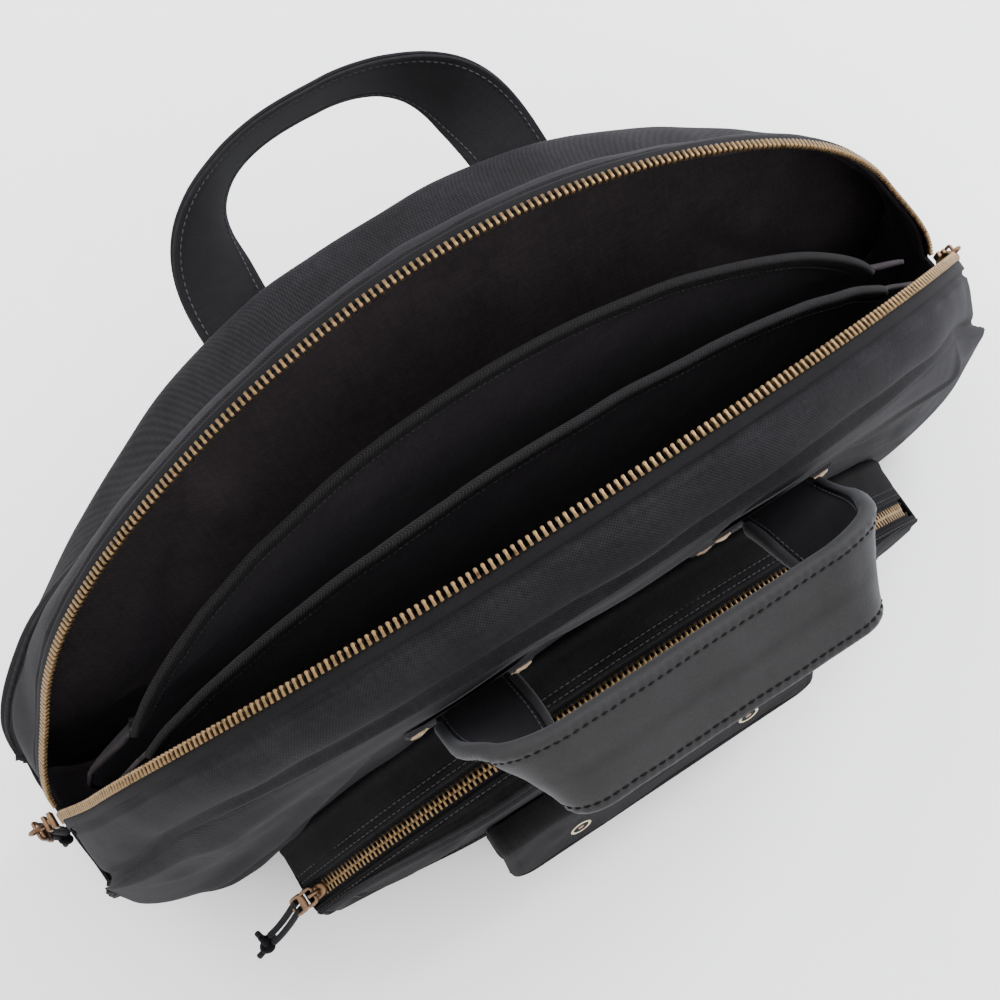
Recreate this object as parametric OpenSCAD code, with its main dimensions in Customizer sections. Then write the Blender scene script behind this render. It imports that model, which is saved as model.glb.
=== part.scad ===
// Half-moon stick bag in black canvas, shown with its mouth unzipped.
// Millimetres. X runs along the bag, -Y is the front, Z is up, the base rests on Z = 0.

/* [Body] */
// Half of the distance between the two ends of the main zip
zip_half = 250; // [200:1:300]
// How much further out the two ends of the main zip lie than the ellipse of the arch
zip_spread = 12; // [0:1:20]
// Depth of the line through the two ends of the main zip
zip_end_y = 6; // [-10:1:15]
// Height of the zip arch above its ends, measured in the plane of a leaf
arch_h = 236; // [150:1:280]
// Height of the zip ends above the floor
zip_end_z = 110; // [80:1:200]
// Width of one half of the gusset, from the zip to the panel seam
band_w = 42; // [25:1:60]
// Radius of the lower corners
corner_r = 60; // [30:1:90]
// Thickness of the padded canvas
canvas_t = 2.4; // [1.5:0.1:4]
// Thickness of the zip tape
tape_t = 0.9; // [0.5:0.1:1.5]

/* [Mouth] */
// Forward lean of the front leaf in degrees
front_lean = 7; // [0:0.5:20]
// Backward lean of the back leaf in degrees
back_lean = 27; // [5:0.5:45]
// Bow of the front leaf, first term
front_bow = 39; // [-60:1:60]
// Bow of the front leaf, second term
front_bow2 = -24; // [-60:1:60]
// Bow of the back leaf, first term
back_bow = -118; // [-150:1:60]
// Bow of the back leaf, second term
back_bow2 = 87; // [-60:1:150]
// How far the fully open mouth may still swing, needed for the gap above the lower back panel
open_more = 10; // [0:1:20]

/* [Zips] */
// Distance between neighbouring teeth
pitch = 3; // [2:0.1:4]
// Length of one tooth across the chain
tooth_l = 4.4; // [3:0.1:6]
// Width of one tooth along the chain
tooth_w = 1.6; // [1:0.1:2.5]
// Height of one tooth
tooth_h = 2.6; // [2:0.1:4]
// Teeth in one row of the main zip
main_teeth = 244; // [100:1:300]
// Radius of the arc that the pocket zip follows
pocket_r = 233; // [180:1:400]
// Half of the pocket zip's angle in degrees
pocket_half_deg = 52; // [30:1:60]
// Height of the middle of the pocket zip
pocket_top_z = 165; // [120:1:220]

/* [Pockets] */
// Depth of the front pocket, from the panel to its face
pocket_depth = 50; // [30:1:80]
// Distance from the bag's middle to each snap
snap_x = 52; // [30:1:75]
// Width of the snap pocket
snap_w = 184; // [120:1:200]
// Height of the rim of the snap pocket
snap_rim_z = 94; // [60:1:120]

/* [Handles] */
// Distance from the bag's middle to the middle of a leg of the front handle
front_grip_x = 75; // [50:1:100]
// Distance from the bag's middle to the middle of an end of the back handle
back_grip_x = 65; // [50:1:100]
// Width of the handle strap
strap_w = 37; // [25:1:50]
// Thickness of the handle strap
strap_t = 3.2; // [2:0.1:5]
// Length of a straight leg of the front handle
leg_l = 61; // [30:1:100]
// Radius of the two corners of the front handle
grip_r = 19; // [12:1:40]
// Thickness of the leather on the front handle
leather_t = 2.4; // [1:0.1:4]
// Length of the back loop beyond its anchors
loop_l = 71; // [50:1:150]
// Forward tilt of the front loop from upright in degrees
front_loop_tilt = 37; // [0:1:90]
// Rise of the back loop above level in degrees
back_loop_rise = 10; // [-30:1:80]

/* [Dividers] */
// Height of the dividers in their middle
divider_z = 262; // [200:1:300]
// Height of the dividers at their upper corners
divider_corner_z = 170; // [120:1:220]

/* [Cords] */
// Thickness of the zip-pull cord
cord_d = 3.4; // [2:0.1:5]

/* [Hidden] */
$fn = 48;
flare = -12;
front_end_flare = 2.7;
back_end_flare = -9.2;
curl = 92;
zip_end_x = zip_half + zip_spread;
front_y = -58;
back_y = 44;
face_y = front_y - pocket_depth;
chain_y = -90;
pocket_cz = pocket_top_z - pocket_r;
hinge_front = [0, -70.4, 258];
hinge_back_y = 46.6;
hinge_back_z = 174;
pull_x = zip_end_x + 14;
snap_lean = 15.2;
// Points of one strand of the pocket's pull cord, in the frame of the slider.
cord_front = [[-16.5, 0, 4.6], [-23, -1, 4.3], [-30, -2.2, 3.6], [-38, -3.4, 3], [-46, -4.4, 2.8],
    [-53, -5, 3]];
// Points of one strand of a main pull cord, below its pull.
cord_side = [[0, 0, 0], [0.6, 0.6, -8], [1, 1, -17], [1.2, 1.4, -26], [1, 1.4, -35]];

canvas = [0.13, 0.13, 0.14];
lining = [0.08, 0.08, 0.09];
leather = [0.24, 0.25, 0.27];
brass = [0.62, 0.5, 0.32];
copper = [0.6, 0.38, 0.26];
cord_colour = [0.05, 0.05, 0.06];

function unit(v) = v / norm(v);
function mix(a, b, k) = a + (b - a) * k;
function smooth(k) = let(c = min(1, max(0, k))) c * c * (3 - 2 * c);

// Frame of a leaf: side is -1 for the front leaf and 1 for the back leaf.
function lean(side) = side < 0 ? front_lean : back_lean;
function leaf_up(side) = [0, side * sin(lean(side)), cos(lean(side))];
function leaf_out(side) = [0, side * cos(lean(side)), -sin(lean(side))];

// 1 at the two ends of the zip and 0 along the rest of the arch.
function end_k(a) = 1 - smooth(sin(a) / 0.38);

// Depth added to the lower part of the bag at height z, so that it meets the zip ends.
function shear(z) = zip_end_y * smooth(z / 95);

// Centre line of one row of teeth of the main zip; a runs from 0 (right end) to 180 (left end).
function zip_row(side, a) = let(
    t = sin(a),
    e = end_k(a),
    b1 = side < 0 ? front_bow : back_bow,
    b2 = side < 0 ? front_bow2 : back_bow2)
    [(zip_half + zip_spread * e) * cos(a),
     zip_end_y * e + side * (arch_h * t * sin(lean(side)) + b1 * t * t * t + b2 * t * t * t * t),
     zip_end_z + arch_h * t * cos(lean(side))];

// Outward direction of the arch inside the leaf's plane.
function arch_out(side, a) = let(r = unit([cos(a) / zip_half, sin(a) / arch_h]))
    [r[0], 0, 0] + leaf_up(side) * r[1];

// Point of the gusset half at distance s from the teeth; it curls over towards the panel.
function band(side, a, s) = let(
    bend = max(0.5, curl * smooth(side < 0 ? sin(a) / 0.45 : (sin(a) - 0.1) / 0.75)),
    b = bend / band_w,
    k = 180 / PI / b,
    f = mix(flare, side < 0 ? front_end_flare : back_end_flare, end_k(a)),
    along = (sin(f + b * s) - sin(f)) * k,
    inward = (cos(f) - cos(f + b * s)) * k)
    zip_row(side, a) + leaf_out(side) * along - arch_out(side, a) * inward;

// The rows of teeth close up towards the zip ends.
function tooth_s(a) = mix(0.4, -0.5 * tooth_l, smooth(sin(a) / 0.15));

// Half width of the bag at depth y, with the fold in the middle of the sides.
function half_width(y) = zip_end_x - band_w * min(1, abs(y) / band_w)
    * sin(y < 0 ? front_end_flare : back_end_flare);

// U-shaped outline of the lower part at depth y, k from 0 (left) to 1 (right), top edge at height top.
function lower_outline(k, y, top) = let(
    hw = half_width(y),
    side = top - corner_r,
    arc = corner_r * PI / 2,
    base = 2 * (hw - corner_r),
    full = 2 * side + 2 * arc + base,
    d = k * full,
    e = d <= full / 2 ? d : full - d,
    sx = d <= full / 2 ? -1 : 1,
    a = (e - side) / corner_r * 180 / PI,
    x = e <= side ? hw :
        e <= side + arc ? hw - corner_r + corner_r * cos(a) : hw - corner_r - (e - side - arc),
    z = e <= side ? top - e : e <= side + arc ? corner_r - corner_r * sin(a) : 0)
    [sx * x, y + shear(z), z];

// Closed sheet of thickness t around the surface f(u, v); u and v run from 0 to 1.
module sheet(f, nu, nv, t) {
    step = 0.002;
    function at(i, j, sgn) = let(
        u = i / nu,
        v = j / nv,
        ua = max(0, u - step),
        ub = min(1, u + step),
        va = max(0, v - step),
        vb = min(1, v + step),
        n = unit(cross(f(ub, v) - f(ua, v), f(u, vb) - f(u, va))))
        f(u, v) + n * sgn * t / 2;
    cols = nv + 1;
    half = (nu + 1) * cols;
    points = [for (sgn = [1, -1]) for (i = [0:nu]) for (j = [0:nv]) at(i, j, sgn)];
    faces = concat(
        [for (i = [0:nu - 1]) for (j = [0:nv - 1]) let(p = i * cols + j)
            each [[p, p + 1, p + cols + 1], [p, p + cols + 1, p + cols]]],
        [for (i = [0:nu - 1]) for (j = [0:nv - 1]) let(p = half + i * cols + j)
            each [[p, p + cols + 1, p + 1], [p, p + cols, p + cols + 1]]],
        [for (i = [0:nu - 1]) let(p = i * cols, q = p + cols)
            each [[p, q, half + q], [p, half + q, half + p],
                  [p + nv, half + q + nv, q + nv], [p + nv, half + p + nv, half + q + nv]]],
        [for (j = [0:nv - 1]) let(p = j, q = nu * cols + j)
            each [[p, half + p + 1, p + 1], [p, half + p, half + p + 1],
                  [q, q + 1, half + q + 1], [q, half + q + 1, half + q]]]);
    polyhedron(points, faces);
}

// Flat strap of width w and thickness t along the points, with its width along the given directions;
// out moves it off the points, square to its faces.
module ribbon(path, wide, w, t, out = 0) {
    n = len(path);
    function tangent(i) = unit(path[min(n - 1, i + 1)] - path[max(0, i - 1)]);
    function corner(i, a, b) = let(
        q = tangent(i),
        side = unit(wide[i] - q * (wide[i] * q)))
        path[i] + side * (a * w / 2) + cross(q, side) * (b * t / 2 - out);
    points = [for (i = [0:n - 1])
        each [corner(i, -1, -1), corner(i, 1, -1), corner(i, 1, 1), corner(i, -1, 1)]];
    faces = concat(
        [[0, 1, 2], [0, 2, 3]],
        // Both wide faces are split along the same diagonal, so ribbons laid on each other stay clear.
        [for (i = [0:n - 2]) for (j = [0:3]) let(p = 4 * i + j, q = 4 * i + (j + 1) % 4)
            each j == 2 ? [[p, p + 4, q], [p + 4, q + 4, q]] : [[p, p + 4, q + 4], [p, q + 4, q]]],
        [[4 * n - 4, 4 * n - 2, 4 * n - 3], [4 * n - 4, 4 * n - 1, 4 * n - 2]]);
    polyhedron(points, faces);
}

// Round cord along the points.
module cord(path, d) {
    n = len(path);
    sides = 8;
    function tangent(i) = unit(path[min(n - 1, i + 1)] - path[max(0, i - 1)]);
    function ring(i, j) = let(
        q = tangent(i),
        a = unit(cross(q, [0.3, 1, 0.2])),
        b = cross(q, a))
        path[i] + (a * cos(360 * j / sides) + b * sin(360 * j / sides)) * d / 2;
    points = [for (i = [0:n - 1]) for (j = [0:sides - 1]) ring(i, j)];
    faces = concat(
        [[for (j = [0:sides - 1]) j]],
        [for (i = [0:n - 2]) for (j = [0:sides - 1])
            let(p = sides * i + j, q = sides * i + (j + 1) % sides)
            each [[p, p + sides, q + sides], [p, q + sides, q]]],
        [[for (j = [sides - 1:-1:0]) sides * (n - 1) + j]]);
    polyhedron(points, faces);
}

// ---- leaves ----

module top_band(side) {
    sheet(function(u, v) band(side, 180 * u, mix(9.4, band_w, v)), 40, 6, canvas_t);
}

module zip_tape(side) {
    sheet(function(u, v) let(a = mix(1, 179, u)) band(side, a, mix(tooth_s(a) + tooth_l + 0.4, 9.2, v)),
        44, 1, tape_t);
}

module zip_teeth(side) {
    for (i = [0:main_teeth - 1]) {
        a = mix(2, 178, i / (main_teeth - 1));
        s = tooth_s(a) + tooth_l / 2;
        across = unit(band(side, a, s + 0.5) - band(side, a, s - 0.5));
        along = unit(band(side, a + 0.3, s) - band(side, a - 0.3, s));
        up = cross(along, across);
        square_along = cross(across, up);
        p = band(side, a, s);
        multmatrix([
            [across[0], square_along[0], up[0], p[0]],
            [across[1], square_along[1], up[1], p[1]],
            [across[2], square_along[2], up[2], p[2]],
            [0, 0, 0, 1]])
            cube([tooth_l, tooth_w, tooth_h], center = true);
    }
}

// Point of a panel between its lower edge and its curved seam, flat in the middle.
function panel_point(low, seam, u, v, flat_y) = let(
    p = mix(low, seam, v),
    k = smooth(min(u, 1 - u) / 0.12) * smooth(v / 0.12) * smooth((1 - v) / 0.1))
    [p[0], mix(p[1], flat_y(p[2]), k), p[2]];

module front_panel() {
    color(canvas)
        sheet(function(u, v) panel_point(
            lower_outline(mix(0.012, 0.988, u), -band_w - 1.7, zip_end_z - 6) + [0, 0, 1.4],
            band(-1, mix(180, 0, u), band_w + 1.8), u, v,
            function(z) front_y - max(0, z - 180) * 0.1), 32, 20, canvas_t);
}

// The back leaf is drawn in its own frame: Y is its outward direction, Z its upward direction.
module in_back_leaf() {
    translate([0, 0, zip_end_z])
        rotate([-back_lean, 0, 0])
        children();
}

function to_back_leaf(p) = let(q = p - [0, 0, zip_end_z])
    [q[0], q * leaf_out(1), q * leaf_up(1)];

module back_panel_upper() {
    color(canvas)
        in_back_leaf()
        sheet(function(u, v) panel_point(
            [mix(-1, 1, u) * (half_width(band_w) - 1), band_w + 1.6 + zip_end_y * cos(back_lean),
             zip_end_y * sin(back_lean) - 1.5 - 3 * sin(180 * u)],
            to_back_leaf(band(1, mix(180, 0, u), band_w + 2.6)), u, v,
            function(z) back_y), 32, 14, canvas_t);
}

// Half width of a panel with rounded lower corners at height z.
function rounded_half(z) = half_width(band_w) + 1.2
    - (z < corner_r ? corner_r - sqrt(corner_r * corner_r - (corner_r - z) * (corner_r - z)) : 0);

module back_panel_lower() {
    color(canvas)
        sheet(function(u, v) let(z = 78 * v)
            [mix(1, -1, u) * rounded_half(z), 41.4 + shear(z), z], 8, 14, canvas_t);
}

module lower_gusset() {
    color(canvas)
        sheet(function(u, v) let(
            y = mix(1.6 - band_w, 39.2, v),
            top = zip_end_z - 1.9 - abs(y) * (y < 0 ? tan(front_lean) : tan(back_lean + open_more + 3)))
            lower_outline(u, y, top) + [0, 0, canvas_t / 2], 44, 8, canvas_t);
}

// ---- main sliders and their pulls; they are drawn for the right end and mirrored for the left ----

module to_end(sx) {
    if (sx > 0)
        children();
    else
        mirror([1, 0, 0])
            children();
}

module main_slider(sx) {
    color(copper)
        to_end(sx) {
            translate([zip_end_x + 6.6, zip_end_y, zip_end_z])
                cube([8, 9, 7], center = true);
            translate([pull_x, zip_end_y, zip_end_z])
                rotate([90, 0, 0])
                difference() {
                    cylinder(h = 3, r = 4.2, center = true);
                    cylinder(h = 5, r = 2.6, center = true);
                }
        }
}

module main_pull(sx) {
    color(copper)
        to_end(sx)
        translate([pull_x, zip_end_y, zip_end_z])
        difference() {
            union() {
                rotate([90, 0, 0])
                    cylinder(h = 9, r = 2, center = true);
                for (y = [-3.8, 3.8])
                    translate([0, y, -6])
                        cube([2, 1.6, 12], center = true);
                translate([0, 0, -18])
                    cube([2, 9.2, 13], center = true);
            }
            translate([0, 0, -20])
                cube([5, 4.6, 5.4], center = true);
        }
}

module main_cord(sx) {
    color(cord_colour)
        to_end(sx)
        for (x = [-2.2, 2.2])
            cord([for (p = cord_side) [pull_x + x + p[0], zip_end_y + p[1], zip_end_z - 20 + p[2]]], cord_d);
}

module main_knot(sx) {
    color(cord_colour)
        to_end(sx)
        translate([pull_x + 1, zip_end_y + 1.3, zip_end_z - 61])
        sphere(6.4);
}

// ---- dividers ----

function divider_half(z) = lookup(z, [[6, 196], [20, 225], [40, 240], [62, 245], [105, 245], [140, 236],
    [divider_corner_z, 207]]);

function divider_top(k) = mix(divider_corner_z, divider_z, pow(max(0, 1 - k * k), 0.7));

// Point of a divider; k runs from -1 to 1 along it, v from 0 at the base to 1 at its top edge.
function divider_point(k, v, low_y, end_y, mid_y, drop) = let(
    top = divider_top(k) - drop,
    z = mix(6, top, v),
    hw = divider_half(min(z, divider_corner_z)),
    top_y = mix(end_y, mid_y, pow(max(0, 1 - k * k), 0.8)))
    [k * hw, mix(low_y, top_y, v), z];

module divider(low_y, end_y, mid_y) {
    color(lining)
        sheet(function(u, v) divider_point(mix(-0.94, 0.94, u), v, low_y, end_y, mid_y, 13),
            40, 12, canvas_t);
}

module divider_binding(low_y, end_y, mid_y) {
    color(canvas)
        sheet(function(u, v) let(p = divider_point(2 * u - 1, 1, low_y, end_y, mid_y, 0))
            p + [0, 0, mix(-8.6, 1, v)], 40, 1, 4.4);
}

// ---- handles ----

function loop_path(n) = [for (i = [0:n]) let(
    a = mix(180, 0, i / n),
    c = cos(a),
    s = sin(a))
    [sign(c) * pow(abs(c), 0.72) * (back_grip_x + 6), 0, pow(abs(s), 0.72) * loop_l + 0.6]];

// The back strap lies flat at its ends and turns on edge on its way up the legs.
function loop_wide(path) = [for (p = path) let(b = 90 * smooth((p[2] - 4) / 80))
    [-sign(p[0]) * cos(b), -sin(b), 0]];

grip_arc = grip_r * PI / 2;
grip_full = 2 * (leg_l + grip_arc + front_grip_x - grip_r);

// Point of the front handle at distance d along it: straight legs, round corners, straight grip.
function grip_point(d) = let(
    e = min(d, grip_full - d),
    q = (e - leg_l) / grip_r * 180 / PI,
    x = e < leg_l ? front_grip_x :
        e < leg_l + grip_arc ? front_grip_x - grip_r + grip_r * cos(q) :
        front_grip_x - grip_r - (e - leg_l - grip_arc),
    z = e < leg_l ? e : e < leg_l + grip_arc ? leg_l + grip_r * sin(q) : leg_l + grip_r)
    [d < grip_full / 2 ? -x : x, 0, z + 0.6];

// Direction of its width there; it turns on edge between 10 mm up the leg and the end of the corner.
function grip_wide(d) = let(
    e = min(d, grip_full - d),
    b = 90 * smooth((e - 10) / (leg_l + grip_arc - 4)))
    [(d < grip_full / 2 ? 1 : -1) * cos(b), -sin(b), 0];

// Ribbon along the front handle between two of its 60 steps, moved outwards off its middle.
module grip_ribbon(w, t, from, to, out) {
    along = [for (i = [0:60]) grip_full * i / 60];
    path = [for (d = along) grip_point(d)];
    wide = [for (d = along) grip_wide(d)];
    n = [for (i = [from:to]) i];
    ribbon([for (i = n) path[i]], [for (i = n) wide[i]], w, t, out);
}

module place_front_loop() {
    translate(hinge_front)
        rotate([front_loop_tilt, 0, 0])
        children();
}

module place_back_loop() {
    in_back_leaf()
        translate([0, hinge_back_y, hinge_back_z])
        rotate([back_loop_rise + back_lean - 90, 0, 0])
        mirror([0, 1, 0])
        children();
}

module front_handle_strap() {
    color(canvas)
        place_front_loop()
        grip_ribbon(strap_w, strap_t, 0, 60, 0);
}

module front_handle_grip() {
    color(leather)
        place_front_loop()
        grip_ribbon(strap_w + 2, leather_t, 3, 57, (strap_t + leather_t) / 2 + 0.5);
}

module back_handle_strap() {
    color(canvas)
        place_back_loop() {
            path = loop_path(36);
            ribbon(path, loop_wide(path), strap_w, strap_t);
        }
}

module anchor_plates(at) {
    for (x = [-at, at])
        translate([x, 0, -33])
            cube([62, 2.6, 56], center = true);
}

module rivets(at) {
    for (x = [-at, at])
        for (dx = [-25, 25])
            for (z = [-11, -53])
                translate([x + dx, 0, z])
                    rotate([90, 0, 0])
                    cylinder(h = 1.4, r = 4.5);
}

module place_front_anchor(gap) {
    translate([0, -66.9 - gap, 258])
        rotate([5.71, 0, 0])
        children();
}

module place_back_anchor(gap) {
    in_back_leaf()
        translate([0, back_y + 1.3 + gap, hinge_back_z - 1.5])
        children();
}

module front_handle_anchors() {
    color(canvas)
        place_front_anchor(2)
        anchor_plates(front_grip_x);
}

module back_handle_anchors() {
    color(canvas)
        place_back_anchor(1.4)
        anchor_plates(back_grip_x);
}

module front_anchor_rivets() {
    color(copper)
        place_front_anchor(3.35)
        rivets(front_grip_x);
}

module back_anchor_rivets() {
    color(copper)
        place_back_anchor(4.2)
        rivets(back_grip_x);
}

// ---- front pocket ----

// Sector of a ring around the centre of the pocket zip's arc, from depth y0 to y1.
module pocket_arc(r0, r1, y0, y1, half_deg) {
    translate([0, y1, pocket_cz])
        rotate([90, 0, 0])
        linear_extrude(y1 - y0)
        intersection() {
            difference() {
                circle(r1, $fn = 180);
                circle(r0, $fn = 180);
            }
            polygon([[0, 0], [-600 * sin(half_deg), 600 * cos(half_deg)], [0, 900],
                [600 * sin(half_deg), 600 * cos(half_deg)]]);
        }
}

module pocket_outline(grow) {
    end_x = pocket_r * sin(pocket_half_deg);
    end_z = pocket_cz + pocket_r * cos(pocket_half_deg);
    difference() {
        union() {
            intersection() {
                translate([0, pocket_cz])
                    circle(pocket_r + grow, $fn = 180);
                translate([-end_x - grow, end_z])
                    square([2 * (end_x + grow), 200]);
            }
            translate([-end_x - grow, 30])
                square([2 * (end_x + grow), end_z - 29]);
            translate([30 - end_x, 6 - grow])
                square([2 * end_x - 60, 40]);
            for (x = [30 - end_x, end_x - 30])
                translate([x, 36])
                    circle(30 + grow);
        }
    }
}

module pocket_rear_gusset() {
    color(canvas)
        pocket_arc(pocket_r - 2, pocket_r, -83.4, front_y - 1.6, pocket_half_deg);
}

module pocket_front_gusset() {
    color(canvas)
        pocket_arc(pocket_r - 2, pocket_r, face_y + 0.2, -96.6, pocket_half_deg);
}

module pocket_side_gusset() {
    end_z = pocket_cz + pocket_r * cos(pocket_half_deg);
    color(canvas)
        translate([0, front_y - 1.6, 0])
        rotate([90, 0, 0])
        linear_extrude(pocket_depth - 1.8)
        intersection() {
            difference() {
                pocket_outline(0);
                pocket_outline(-2);
            }
            translate([-300, 0])
                square([600, end_z - 1.6]);
        }
}

module pocket_face() {
    color(canvas)
        translate([0, face_y, 0])
        rotate([90, 0, 0])
        linear_extrude(canvas_t)
        pocket_outline(0.6);
}

module pocket_rear_tape() {
    color(lining)
        pocket_arc(pocket_r - 1.6, pocket_r - 0.7, chain_y + 3.9, -83.6, pocket_half_deg - 0.4);
}

module pocket_front_tape() {
    color(lining)
        pocket_arc(pocket_r - 1.6, pocket_r - 0.7, -96.4, chain_y - 3.9, pocket_half_deg - 0.4);
}

module pocket_teeth(side) {
    step = pitch / pocket_r * 180 / PI;
    count = floor(2 * (pocket_half_deg - 1.5) / step);
    color(brass)
        translate([0, chain_y + side * 1.7, pocket_cz])
        for (i = [0:count])
            rotate([0, (i - count / 2 + side * 0.25) * step, 0])
                translate([0, 0, pocket_r - 1.1])
                cube([1.2, 4.2, 2.4], center = true);
}

module at_pocket_start() {
    translate([0, chain_y, pocket_cz])
        rotate([0, -pocket_half_deg + 2.4, 0])
        translate([0, 0, pocket_r])
        children();
}

module pocket_slider() {
    color(copper)
        at_pocket_start() {
            translate([0, 0, 1.5])
                cube([11, 8.6, 1.5], center = true);
            translate([-1, 0, 4.6])
                rotate([90, 0, 0])
                difference() {
                    cylinder(h = 2.6, r = 3.8, center = true);
                    cylinder(h = 4, r = 2.2, center = true);
                }
        }
}

// The pull lies along the zip, beyond its closed end.
module pocket_pull() {
    color(copper)
        at_pocket_start()
        translate([-1, 0, 4.6])
        difference() {
            union() {
                rotate([90, 0, 0])
                    cylinder(h = 8, r = 1.7, center = true);
                for (y = [-3.4, 3.4])
                    translate([-5, y, 0])
                        cube([11, 1.4, 1.8], center = true);
                translate([-15, 0, 0])
                    cube([11, 8.2, 1.8], center = true);
            }
            translate([-16.4, 0, 0])
                cube([4.8, 4.4, 5], center = true);
        }
}

module pocket_cord() {
    color(cord_colour)
        at_pocket_start()
        for (dy = [-2.1, 2.1])
            translate([0, dy, 0])
                cord(cord_front, cord_d);
}

module pocket_knot() {
    color(cord_colour)
        at_pocket_start()
        translate([-58.5, -5, 3])
        sphere(6.6);
}

// ---- snap pocket ----

// Side outline of the snap pocket: the front bulges and leans back towards the rim.
module snap_profile(front, back, low, top) {
    polygon([[back, low], [front + 4, low], [front, 45],
        [front + (top - 45) * tan(snap_lean), top], [back, top]]);
}

module snap_pocket() {
    color(canvas)
        translate([-snap_w / 2, 0, 0])
        rotate([90, 0, 90])
        difference() {
            linear_extrude(snap_w)
                snap_profile(-132, face_y - 2.7, 16, snap_rim_z);
            translate([0, 0, 2])
                linear_extrude(snap_w - 4)
                snap_profile(-130, face_y - 4.7, 18, snap_rim_z + 2);
        }
}

module snap_flap() {
    color(canvas)
        translate([-snap_w / 2 - 1, 0, 0])
        rotate([90, 0, 90])
        linear_extrude(snap_w + 2)
        polygon([[-112.8, 97], [-112.8, 99.4], [-123.8, 99.4], [-137.1, 50.4], [-134.6, 51],
            [-122, 97]]);
}

// Places a snap part on the axis of the snap, normal to the leaning front.
module at_snap(x, out) {
    translate([x, -126.3, 66])
        rotate([90 - snap_lean, 0, 0])
        translate([0, 0, out])
        children();
}

module snap_caps() {
    color(brass)
        for (x = [-snap_x, snap_x]) {
            at_snap(x, 6.6) {
                cylinder(h = 1.3, r = 6.4);
                translate([0, 0, 1.3])
                    cylinder(h = 0.7, r1 = 6, r2 = 4.8);
            }
            at_snap(x, 1.4)
                difference() {
                    cylinder(h = 2.4, r = 5.2);
                    translate([0, 0, -0.5])
                        cylinder(h = 2.2, r = 3.2);
                }
        }
}

module snap_studs() {
    color(brass)
        for (x = [-snap_x, snap_x])
            at_snap(x, 0.2) {
                cylinder(h = 0.8, r = 4.6);
                translate([0, 0, 0.8])
                    cylinder(h = 1.3, r = 1.7);
            }
}

lower_gusset();
front_panel();
color(canvas) top_band(-1);  // front_top_band
color(lining) zip_tape(-1);  // front_zip_tape
color(brass) zip_teeth(-1);  // front_zip_teeth
back_panel_lower();
back_panel_upper();
color(canvas) top_band(1);  // back_top_band
color(lining) zip_tape(1);  // back_zip_tape
color(brass) zip_teeth(1);  // back_zip_teeth
main_slider(-1);  // main_slider_left
main_slider(1);  // main_slider_right
main_pull(-1);  // main_pull_left
main_pull(1);  // main_pull_right
main_cord(-1);  // main_cord_left
main_cord(1);  // main_cord_right
main_knot(-1);  // main_knot_left
main_knot(1);  // main_knot_right
divider(-12, -4, 3);  // divider_front
divider_binding(-12, -4, 3);  // divider_front_binding
divider(14, 7, 42);  // divider_back
divider_binding(14, 7, 42);  // divider_back_binding
front_handle_strap();
front_handle_grip();
back_handle_strap();
front_handle_anchors();
back_handle_anchors();
front_anchor_rivets();
back_anchor_rivets();
pocket_rear_gusset();
pocket_front_gusset();
pocket_side_gusset();
pocket_face();
pocket_rear_tape();
pocket_front_tape();
pocket_teeth(1);  // pocket_rear_teeth
pocket_teeth(-1);  // pocket_front_teeth
pocket_slider();
pocket_pull();
pocket_cord();
pocket_knot();
snap_pocket();
snap_flap();
snap_caps();
snap_studs();
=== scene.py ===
"""Looks of the half-moon drum stick bag: canvas, leather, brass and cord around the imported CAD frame."""
import math

import bmesh
import bpy
import numpy as np
from mathutils import Matrix, Vector


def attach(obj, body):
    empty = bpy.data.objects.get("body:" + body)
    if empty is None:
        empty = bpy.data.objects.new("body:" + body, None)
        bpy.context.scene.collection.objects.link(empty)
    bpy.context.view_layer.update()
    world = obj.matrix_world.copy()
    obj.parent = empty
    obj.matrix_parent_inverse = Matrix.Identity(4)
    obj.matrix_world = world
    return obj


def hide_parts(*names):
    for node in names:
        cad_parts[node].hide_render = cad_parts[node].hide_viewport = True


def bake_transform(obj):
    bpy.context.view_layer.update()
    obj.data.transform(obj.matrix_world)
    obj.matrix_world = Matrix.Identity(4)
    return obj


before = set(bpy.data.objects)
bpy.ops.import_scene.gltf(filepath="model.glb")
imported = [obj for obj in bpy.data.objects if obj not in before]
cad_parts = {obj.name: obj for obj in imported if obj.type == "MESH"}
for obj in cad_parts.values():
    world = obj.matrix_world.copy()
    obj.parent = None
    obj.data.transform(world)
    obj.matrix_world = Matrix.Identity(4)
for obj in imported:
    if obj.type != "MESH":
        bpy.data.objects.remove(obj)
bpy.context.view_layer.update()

MM = 0.001

# ---------------------------------------------------------------- sizes of the CAD, in millimetres
A, H, ZE, W = 250.0, 236.0, 110.0, 42.0
SPREAD, END_Y = 12.0, 6.0
ZIP_X = A + SPREAD
LEAN = {-1: math.radians(7), 1: math.radians(27)}
BOW = {-1: (39.0, -24.0), 1: (-118.0, 87.0)}
FLARE, CURL = math.radians(-12), math.radians(92)
END_FLARE = {-1: math.radians(2.7), 1: math.radians(-9.2)}
TOOTH, PITCH, MAIN_TEETH = 4.4, 3.0, 244
CORNER = 60.0
FRONT_Y, BACK_Y = -58.0, 44.0
FACE_Y = FRONT_Y - 50.0
CHAIN_Y = -90.0
POCKET_R, POCKET_CZ = 233.0, 165.0 - 233.0
POCKET_HALF = math.radians(52)
GRIP_X = {-1: 75.0, 1: 65.0}
STRAP_W, LOOP_L = 36.0, 71.0
LEG_L, GRIP_R = 61.0, 19.0
SNAP_X, SNAP_Y, SNAP_Z = 52.0, -126.3, 66.0
SNAP_W, SNAP_FLOOR, SNAP_RIM, SNAP_LEAN = 184.0, 16.0, 94.0, math.radians(15.2)
CORD_D = 3.4
PULL_X = ZIP_X + 14.0
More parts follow.
